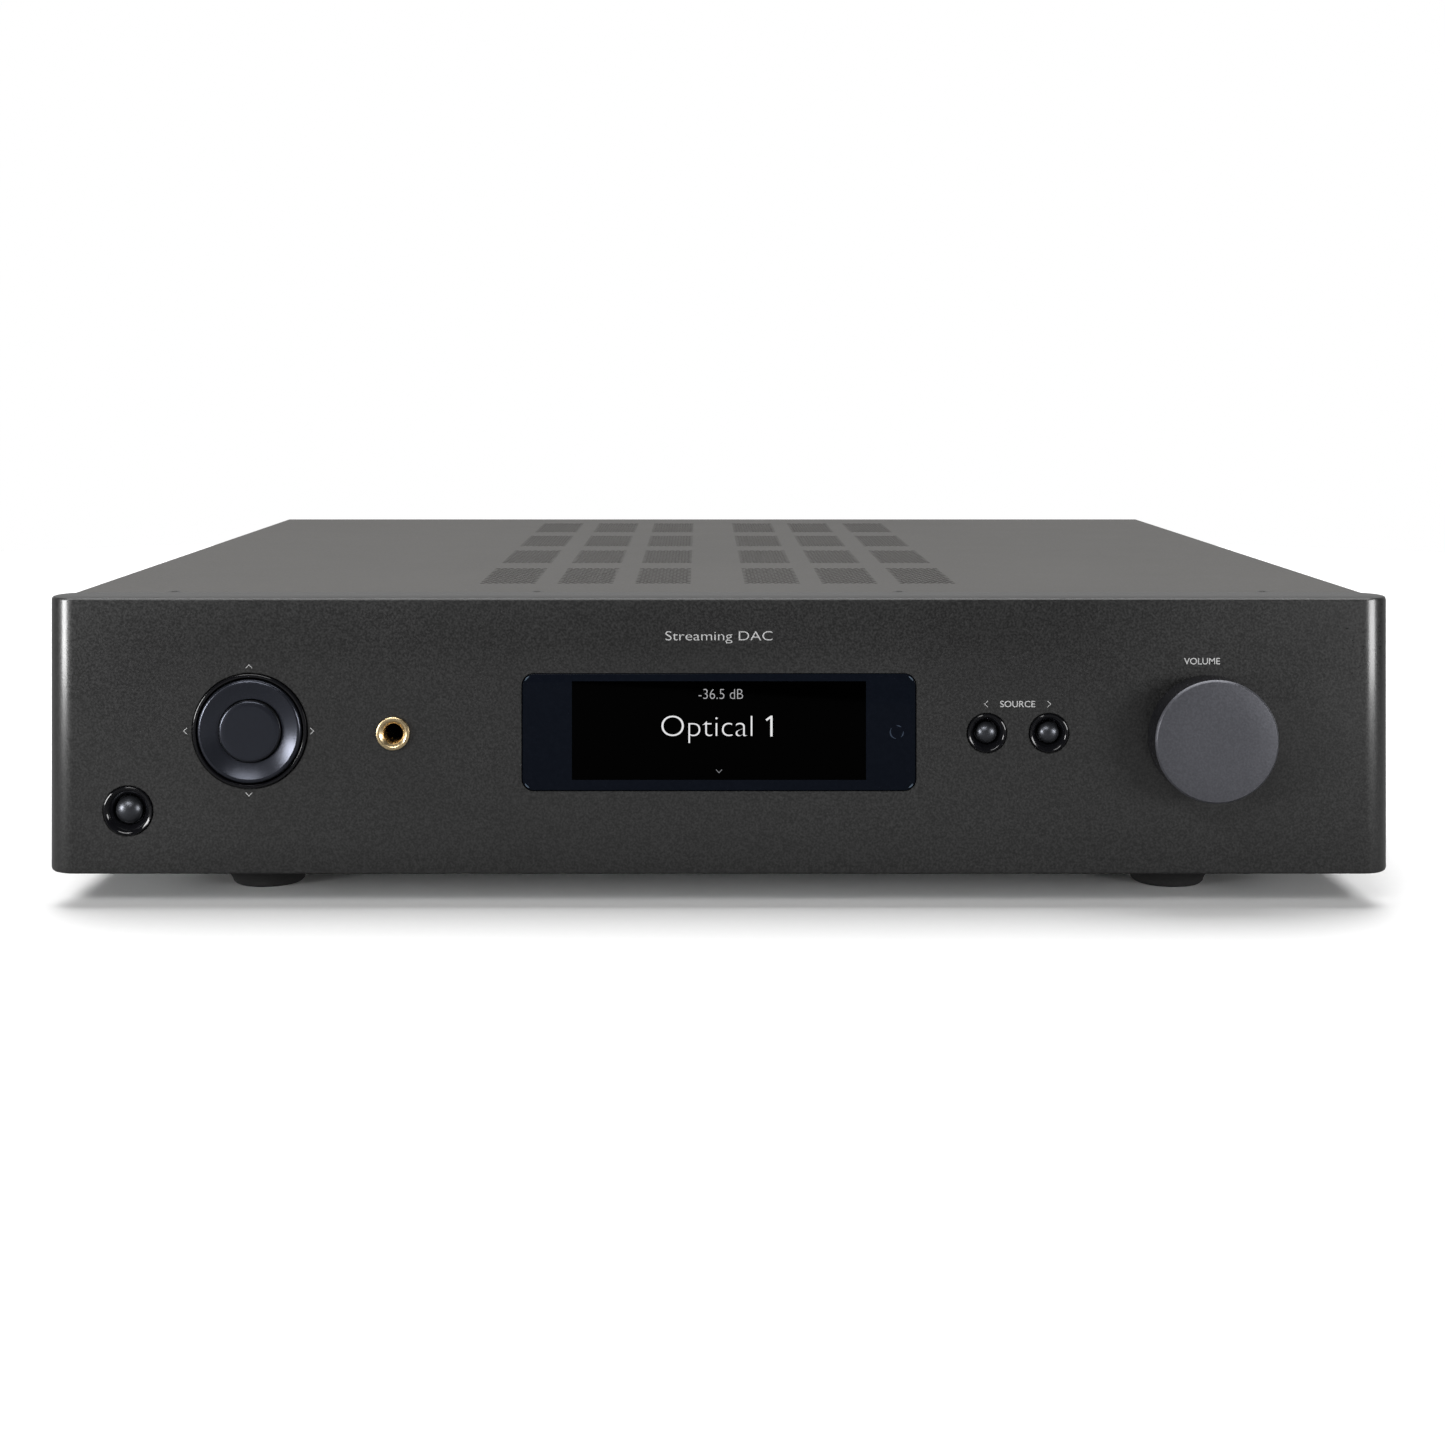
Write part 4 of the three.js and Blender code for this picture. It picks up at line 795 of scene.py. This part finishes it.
# Display window with an eased edge
def buildWindow():
    size = windowHigh - windowLow
    outline = roundedOutline(size.x, size.z, frontStyle["windowCorner"], 12)
    glass = looseObject("glass", plateMesh("glass", outline, windowLow.y - windowAt.y, windowHigh.y - windowAt.y))
    applyModifier(glass, "BEVEL", width=frontStyle["glassEase"], segments=3, limit_method="ANGLE",
                  angle_limit=math.radians(60))
    mesh = glass.data.copy()
    bpy.data.objects.remove(glass)
    addPiece("displayGlass", mesh, windowTint, "chassis", windowAt, ["display_window"])


buildWindow()


# Painted highlights: fine bright arcs on the rounded corners of the glass, and round the infrared eye behind its
# right end
def buildArcGlint(name, x, z, radius, start, end, wide, material):
    outer, inner = [], []
    for i in range(13):
        t = i / 12
        a = math.radians(start + (end - start) * t)
        half = wide * math.sin(math.pi * (0.08 + 0.84 * t))
        outer.append((math.cos(a) * (radius + half), math.sin(a) * (radius + half)))
        inner.append((math.cos(a) * (radius - half), math.sin(a) * (radius - half)))
    mesh = plateMesh(name, outer + inner[::-1], -0.00002, 0.00002)
    addPiece(name, mesh, material, "chassis", (x, windowLow.y, z), smoothBelow=20)


glintStyle = {"cornerRadius": 0.0033, "cornerWide": 0.00022, "eyeRadius": 0.0021, "eyeWide": 0.00020}
for i, (sx, sz) in enumerate(((1, 1), (-1, 1), (-1, -1), (1, -1))):
    reachX = (windowHigh.x - windowLow.x) / 2 - frontStyle["windowCorner"]
    reachZ = (windowHigh.z - windowLow.z) / 2 - frontStyle["windowCorner"]
    buildArcGlint("cornerGlint%d" % i, windowAt.x + sx * reachX, windowAt.z + sz * reachZ,
                  glintStyle["cornerRadius"], 28 + 90 * i, 62 + 90 * i, glintStyle["cornerWide"], glassPaintedGlint)
eyeAt = centreOf("ir_receiver")
# Painted highlights: three bright crescents round the infrared eye
for i, (start, end) in enumerate(((140, 262), (-52, 8), (48, 92))):
    buildArcGlint("eyeGlint%d" % i, eyeAt.x, eyeAt.z, glintStyle["eyeRadius"], start, end,
                  glintStyle["eyeWide"], eyePaintedGlint)


# Lettering: built-in letters made into thin solid print
def printText(name, words, size, at, material, slot, bold=0.0, spread=1.0, lift=0.00003):
    curve = bpy.data.curves.new(name, "FONT")
    curve.body = words
    curve.size = 1
    curve.align_x, curve.align_y = "CENTER", "CENTER"
    curve.offset = bold
    curve.space_character = spread
    curve.resolution_u = 6
    letters = bpy.data.objects.new(name, curve)
    scene.collection.objects.link(letters)
    bpy.context.view_layer.update()
    flat = bpy.data.meshes.new_from_object(letters.evaluated_get(bpy.context.evaluated_depsgraph_get()))
    bpy.data.objects.remove(letters)
    xs = [v.co.x for v in flat.vertices]
    ys = [v.co.y for v in flat.vertices]
    wide, tall = max(xs) - min(xs), max(ys) - min(ys)
    scaleX, scaleZ = size[0] / wide, size[1] / tall
    midX, midY = (max(xs) + min(xs)) / 2, (max(ys) + min(ys)) / 2
    facing = -1 if slot != "rear" else 1
    work = bmesh.new()
    work.from_mesh(flat)
    for v in work.verts:
        x, y = (v.co.x - midX) * scaleX, (v.co.y - midY) * scaleZ
        v.co = (x * -facing, 0, y)
    bmesh.ops.remove_doubles(work, verts=work.verts, dist=1e-7)
    grown = bmesh.ops.extrude_face_region(work, geom=work.faces[:])
    for item in grown["geom"]:
        if isinstance(item, bmesh.types.BMVert):
            item.co.y += facing * lift
    bmesh.ops.recalc_face_normals(work, faces=work.faces)
    mesh = bpy.data.meshes.new(name)
    work.to_mesh(mesh)
    work.free()
    return addPiece(name, mesh, material, "chassis", at, smoothBelow=20)


def printChevron(name, at, half, pointing, material, thick=0.00022, lift=0.00003):
    turn = {"up": 0, "left": 90, "down": 180, "right": 270}[pointing]
    arm = [(-half, -half * 0.55), (0, half * 0.55), (half, -half * 0.55)]
    inner = [(x, z - thick * 1.25) for x, z in arm]
    end = -half * 0.55 - thick * 0.6
    inner[0], inner[2] = (-half + thick * 0.6, end), (half - thick * 0.6, end)
    outline = arm + inner[::-1]
    a = math.radians(turn)
    outline = [(x * math.cos(a) - z * math.sin(a), x * math.sin(a) + z * math.cos(a)) for x, z in outline]
    mesh = bpy.data.meshes.new(name)
    work = bmesh.new()
    n = len(outline)
    front = [work.verts.new((x, -lift, z)) for x, z in outline]
    back = [work.verts.new((x, 0, z)) for x, z in outline]
    for ring in (front, back):
        work.faces.new((ring[0], ring[1], ring[4], ring[5]))
        work.faces.new((ring[1], ring[2], ring[3], ring[4]))
    for i in range(n):
        work.faces.new((front[i], front[(i + 1) % n], back[(i + 1) % n], back[i]))
    bmesh.ops.recalc_face_normals(work, faces=work.faces)
    work.to_mesh(mesh)
    work.free()
    return addPiece(name, mesh, material, "chassis", at, smoothBelow=20)


inkY = faceY - 0.00001
glassY = windowLow.y - 0.00001
for name, words, size, x, z, bold in (
        ("printVolume", "VOLUME", (0.0116, 0.0021), knobAt.x - 0.002, 0.0797, 0.004),
        ("printSource", "SOURCE", (0.0113, 0.00205), 0.0962, 0.0659, 0.004),
        ("printTitle", "Streaming DAC", (0.0345, 0.0039), 0, 0.0874, -0.009)):
    printText(name, words, size, (x, inkY, z), printInk, "panel_paint", bold)
for name, x, z, way in (("padUp", -0.1514, 0.0781, "up"), ("padDown", -0.1514, 0.0367, "down"),
                        ("padLeft", -0.1720, 0.0572, "left"), ("padRight", -0.1310, 0.0572, "right"),
                        ("sourceLeft", 0.0860, 0.0659, "left"), ("sourceRight", 0.1064, 0.0659, "right")):
    printChevron("print_" + name, (x, inkY, z), 0.0011, way, printInk)
printText("screenLevel", "-36.5 dB", (0.0143, 0.0032), (0.0006, glassY, 0.0691), screenMid, "window", -0.016)
printText("screenInput", "Optical", (0.0293, 0.0088), (-0.0039, glassY, 0.0577), screenGlow, "window", -0.020)
figureOne = [(0.00036, 0), (0.00036, 0.0067), (-0.00022, 0.0067), (-0.0019, 0.0055), (-0.0015, 0.0050),
             (-0.00036, 0.0058), (-0.00036, 0)]
addPiece("screenFigure", plateMesh("screenFigure", figureOne, -0.00003, 0), screenGlow, "chassis",
         (0.0169, glassY, 0.0554), smoothBelow=20)
printChevron("screenMore", (0.0, glassY, 0.0441), 0.0010, "down", screenDim)
print("display and lettering")


# Screws: domed heads with a hex socket, in place of the plain ones
def hexagon(radius):
    return [(radius * math.cos(math.pi / 3 * i), radius * math.sin(math.pi / 3 * i)) for i in range(6)]


def buildScrew(node, axis):
    low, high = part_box(node)
    middle = (low + high) / 2
    if axis == "Z":
        head, top = (high.x - low.x) / 2, high.z
        profile = [(0, top), (head * 0.55, top - 0.00002), (head * 0.9, top - 0.00016), (head, top - 0.0004),
                   (head, coverHigh.z - 0.0006), (0.0013, coverHigh.z - 0.0006), (0.0013, low.z), (0, low.z)]
        at, deep = (middle.x, middle.y, 0), 0.0009
        piece = looseObject("screw", turnedMesh("screw", profile, 48, "Z"))
        points = [(x, y, z) for z in (top - deep, top + 0.001) for x, y in hexagon(head * 0.42)]
    else:
        side = 1 if middle.x > 0 else -1
        head, end, inner = (high.z - low.z) / 2, max(abs(low.x), abs(high.x)), min(abs(low.x), abs(high.x))
        profile = [(0, end), (head * 0.5, end - 0.00005), (head * 0.85, end - 0.0004), (head, end - 0.0011),
                   (head, coverHigh.x + 0.0001), (0.0017, coverHigh.x + 0.0001), (0.0017, inner), (0, inner)]
        profile = [(r, side * a) for r, a in profile]
        mesh = turnedMesh("screw", profile, 56, "Z")
        mesh.transform(Matrix.Rotation(math.radians(90), 4, "Y"))
        at, deep = (0, middle.y, middle.z), 0.0012
        piece = looseObject("screw", mesh)
        points = [(side * x, y, z) for x in (end - deep, end + 0.001) for y, z in hexagon(head * 0.4)]
    faces = [list(range(6)), list(range(6, 12))] + [[i, (i + 1) % 6, 6 + (i + 1) % 6, 6 + i] for i in range(6)]
    cutAway(piece, looseObject("socket", meshFrom("socket", points, faces)))
    mesh = piece.data.copy()
    bpy.data.objects.remove(piece)
    addPiece(node + "Head", mesh, screwBlack, "chassis", at, [node])


for i in range(1, 5):
    buildScrew("cover_screw_%d" % i, "Z")
    buildScrew("side_screw_%d" % i, "X")


# Feet: flared moulded cup with a rubber pad let into it
footStyle = {"bottom": 0.012, "recess": 0.0016, "edge": 0.0007, "flare": 1.5}


def buildFoot(node):
    low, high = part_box(node)
    top, middle = (high.x - low.x) / 2, (low + high) / 2
    bottom, recess, edge = footStyle["bottom"], footStyle["recess"], footStyle["edge"]
    profile = [(0, recess), (bottom - 0.0027, recess), (bottom - 0.0027, 0.0006), (bottom - 0.0021, 0.0001),
               (bottom - 0.0006, 0.0001), (bottom, edge)]
    for i in range(1, 11):
        t = i / 10
        profile.append((bottom + (top - bottom) * t ** footStyle["flare"], edge + (high.z - 0.0027) * t))
    profile += [(top, high.z - 0.0004), (top - 0.0004, high.z), (0, high.z)]
    at = (middle.x, middle.y, 0)
    addTurned(node + "Cup", profile, 96, moulding, "chassis", at, [node], axis="Z")
    pad = [(0, 0), (bottom - 0.0036, 0), (bottom - 0.0031, 0.0004), (bottom - 0.0031, recess), (0, recess)]
    addTurned(node + "Pad", pad, 72, footRubber, "chassis", at, axis="Z")


for node in ("foot_front_left", "foot_front_right", "foot_rear_left", "foot_rear_right"):
    buildFoot(node)
print("screws and feet")


# Rear: phono sleeves with coloured rings, then screws, bright contacts and plain labels
rearStyle = {"phonoRadius": 0.0042, "phonoBore": 0.0031, "ringRadius": 0.0056, "ringThick": 0.0012,
             "phonoEnd": 0.1965}


def buildPhono(label, x, z, ringFinish):
    back, end = rearHigh.y, rearStyle["phonoEnd"]
    r, bore, outer, thick = (rearStyle[key] for key in ("phonoRadius", "phonoBore", "ringRadius", "ringThick"))
    sleeve = [(r + 0.00022, back + 0.0013), (r + 0.00022, end - 0.0003), (r + 0.0001, end + 0.00005),
              (r - 0.0002, end + 0.0001), (bore, end + 0.0001), (bore, end + 0.00002),
              (r - 0.00003, end + 0.00002), (r - 0.00003, back + 0.0013)]
    addTurned(label + "Sleeve", sleeve, 72, jackGold, "chassis", (x, 0, z))
    ring = [(outer, back + 0.00005), (outer, back + 0.0009), (outer - 0.0004, back + thick),
            (r + 0.0001, back + thick), (r + 0.0001, back + 0.00005)]
    addTurned(label + "Ring", ring, 72, ringFinish, "chassis", (x, 0, z))


phonoRows = (centreOf("coax_block").z - 0.010, centreOf("coax_block").z + 0.010)
for block, columns in (("phonoIn", (0.092, 0.110, 0.128)), ("phonoOut", (0.048, 0.066))):
    for column, x in enumerate(columns):
        for z, channel, colour in zip(phonoRows, "RL", (redRing, whiteRing)):
            buildPhono("%s%d%s" % (block, column, channel), x, z, colour)
for z in phonoRows:
    buildPhono("coaxial%d" % (z > phonoRows[0]), centreOf("coax_block").x, z, orangeRing)


def buildRearScrew(label, x, z, proud=0.0, head=0.0025):
    back = rearHigh.y + proud
    profile = [(0, back + 0.0011), (head * 0.5, back + 0.00105), (head * 0.85, back + 0.0008), (head, back + 0.0003),
               (head, back + 0.00005), (0, back + 0.00005)]
    piece = looseObject("screw", turnedMesh("screw", profile, 48))
    for turn in (0, 90):
        bar = roundedOutline(head * 1.1, head * 0.24, head * 0.08, 3)
        a = math.radians(turn)
        bar = [(px * math.cos(a) - pz * math.sin(a), px * math.sin(a) + pz * math.cos(a)) for px, pz in bar]
        cutAway(piece, looseObject("slot", plateMesh("slot", bar, back + 0.0004, back + 0.002)))
    mesh = piece.data.copy()
    bpy.data.objects.remove(piece)
    addPiece(label, mesh, screwBlack, "chassis", (x, 0, z))


rearScrews = [(-0.206, 0.018), (-0.206, 0.093), (0.206, 0.018), (0.206, 0.093), (-0.040, 0.093),
              (0.060, 0.093), (0.010, 0.0175), (-0.100, 0.018), (0.100, 0.018)]
for i, (x, z) in enumerate(rearScrews):
    buildRearScrew("rearScrew%d" % i, x, z)
for name in ("module_plate_upper", "module_plate_lower"):
    low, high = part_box(name)
    for i, x in enumerate((low.x + 0.004, high.x - 0.004)):
        buildRearScrew(name.replace("_", "") + "Screw%d" % i, x, (low.z + high.z) / 2, high.y - rearHigh.y, 0.0021)
for name in ("xlr_left", "xlr_right"):
    low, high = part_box(name)
    for i, (x, z) in enumerate(((low.x + 0.0032, high.z - 0.0032), (high.x - 0.0032, low.z + 0.0032))):
        buildRearScrew(name.replace("_", "") + "Screw%d" % i, x, z, high.y - rearHigh.y, 0.0018)


# Bright metal on the balanced pins and the mains blades
contactStyle = {"pinRadius": 0.00125, "pinCircle": 0.0046, "pinAngles": (30, 150, 270), "pinFloor": 0.0151,
                "pinEnd": 0.0029, "bladeWide": 0.0021, "bladeTall": 0.0041, "bladeApart": 0.007,
                "bladeDrop": 0.002, "bladeFloor": 0.0171, "bladeEnd": 0.0039}


def buildContacts():
    style = contactStyle
    r = style["pinRadius"]
    for node in ("xlr_left", "xlr_right"):
        low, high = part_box(node)
        start, end = high.y - style["pinFloor"], high.y - style["pinEnd"]
        profile = [(0, start), (r, start), (r, end - r * 0.6), (r * 0.8, end - r * 0.2), (r * 0.45, end), (0, end)]
        for i, degrees in enumerate(style["pinAngles"]):
            a = math.radians(degrees)
            x = (low.x + high.x) / 2 + style["pinCircle"] * math.cos(a)
            z = (low.z + high.z) / 2 + style["pinCircle"] * math.sin(a)
            name = node.replace("_", "") + "Pin%d" % i
            addTurned(name, profile, 32, nickel, "chassis", (x, 0, z))
    low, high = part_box("iec_inlet")
    middle = centreOf("iec_inlet")
    outline = roundedOutline(style["bladeWide"], style["bladeTall"], 0.0004, 3)
    for i, (x, z) in enumerate(((-1, -1), (1, -1), (0, 1))):
        mesh = plateMesh("mainsBlade%d" % i, outline, high.y - style["bladeFloor"], high.y - style["bladeEnd"])
        addPiece("mainsBlade%d" % i, mesh, nickel, "chassis",
                 (middle.x + x * style["bladeApart"], 0, middle.z + z * style["bladeDrop"]))


buildContacts()

# Name, words, width, height and place of each rear label
rearLabels = [
    ("inputs", "LINE IN", 0.0150, 0.0022, 0.110, 0.0765),
    ("outputs", "LINE OUT", 0.0170, 0.0022, 0.057, 0.0765),
    ("coaxial", "COAXIAL", 0.0130, 0.0020, 0.0235, 0.0765),
    ("optical", "OPTICAL", 0.0130, 0.0020, -0.004, 0.0765),
    ("network", "LAN", 0.0068, 0.0020, -0.038, 0.0765),
    ("usb", "USB", 0.0068, 0.0020, -0.038, 0.0355),
    ("trigger", "12V TRIG", 0.0130, 0.0018, -0.010, 0.0370),
    ("serial", "RS 232", 0.0105, 0.0020, 0.025, 0.0162),
    ("balanced", "BALANCED OUT", 0.0260, 0.0022, 0.1736, 0.0745),
    ("ground", "GND", 0.0070, 0.0020, 0.134, 0.0775),
    ("mains", "AC MAINS", 0.0170, 0.0022, -0.1856, 0.0245),
    ("power", "POWER", 0.0110, 0.0020, -0.1856, 0.0585),
    ("left", "L", 0.0014, 0.0022, 0.0780, 0.0655),
    ("right", "R", 0.0016, 0.0022, 0.0780, 0.0455),
]
for name, words, wide, tall, x, z in rearLabels:
    printText("label_" + name, words, (wide, tall), (x, rearHigh.y + 0.00001, z), printInk, "rear", 0.004)
print("rear")


# Shown CAD nodes get this model's finishes
nodeFinish = (
    (moulding, ("display_module", "nav_gimbal", "headphone_jack", "iec_inlet", "rocker_frame", "rca_inputs",
                "rca_outputs", "coax_block", "optical_block", "optical_flap_left", "optical_flap_right",
                "trigger_jack", "xlr_left", "xlr_right")),
    (footRubber, ("foot_front_left", "foot_front_right", "foot_rear_left", "foot_rear_right")),
    (glossBlack, ("mains_rocker", "ir_receiver")),
    (panelPaint, ("rear_panel", "module_plate_lower", "module_plate_upper")),
    (zincSheet, ("bottom_tray",)),
    (boardGreen, ("front_board", "main_board", "network_board", "power_supply_board")),
    (windingTape, ("supply_transformer",)),
    (nickel, ("ethernet_socket", "usb_socket", "serial_port", "ground_post", "ground_nut", "encoder_shaft",
              "volume_encoder")),
    (jackGold, ("antenna_socket_left", "antenna_socket_right")),
)
finishOf = {node: material for material, names in nodeFinish for node in names}
for node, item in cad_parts.items():
    wanted = screwBlack if "screw" in node else finishOf.get(node)
    if wanted:
        for place in item.material_slots:
            place.material = wanted
print("carried nodes")
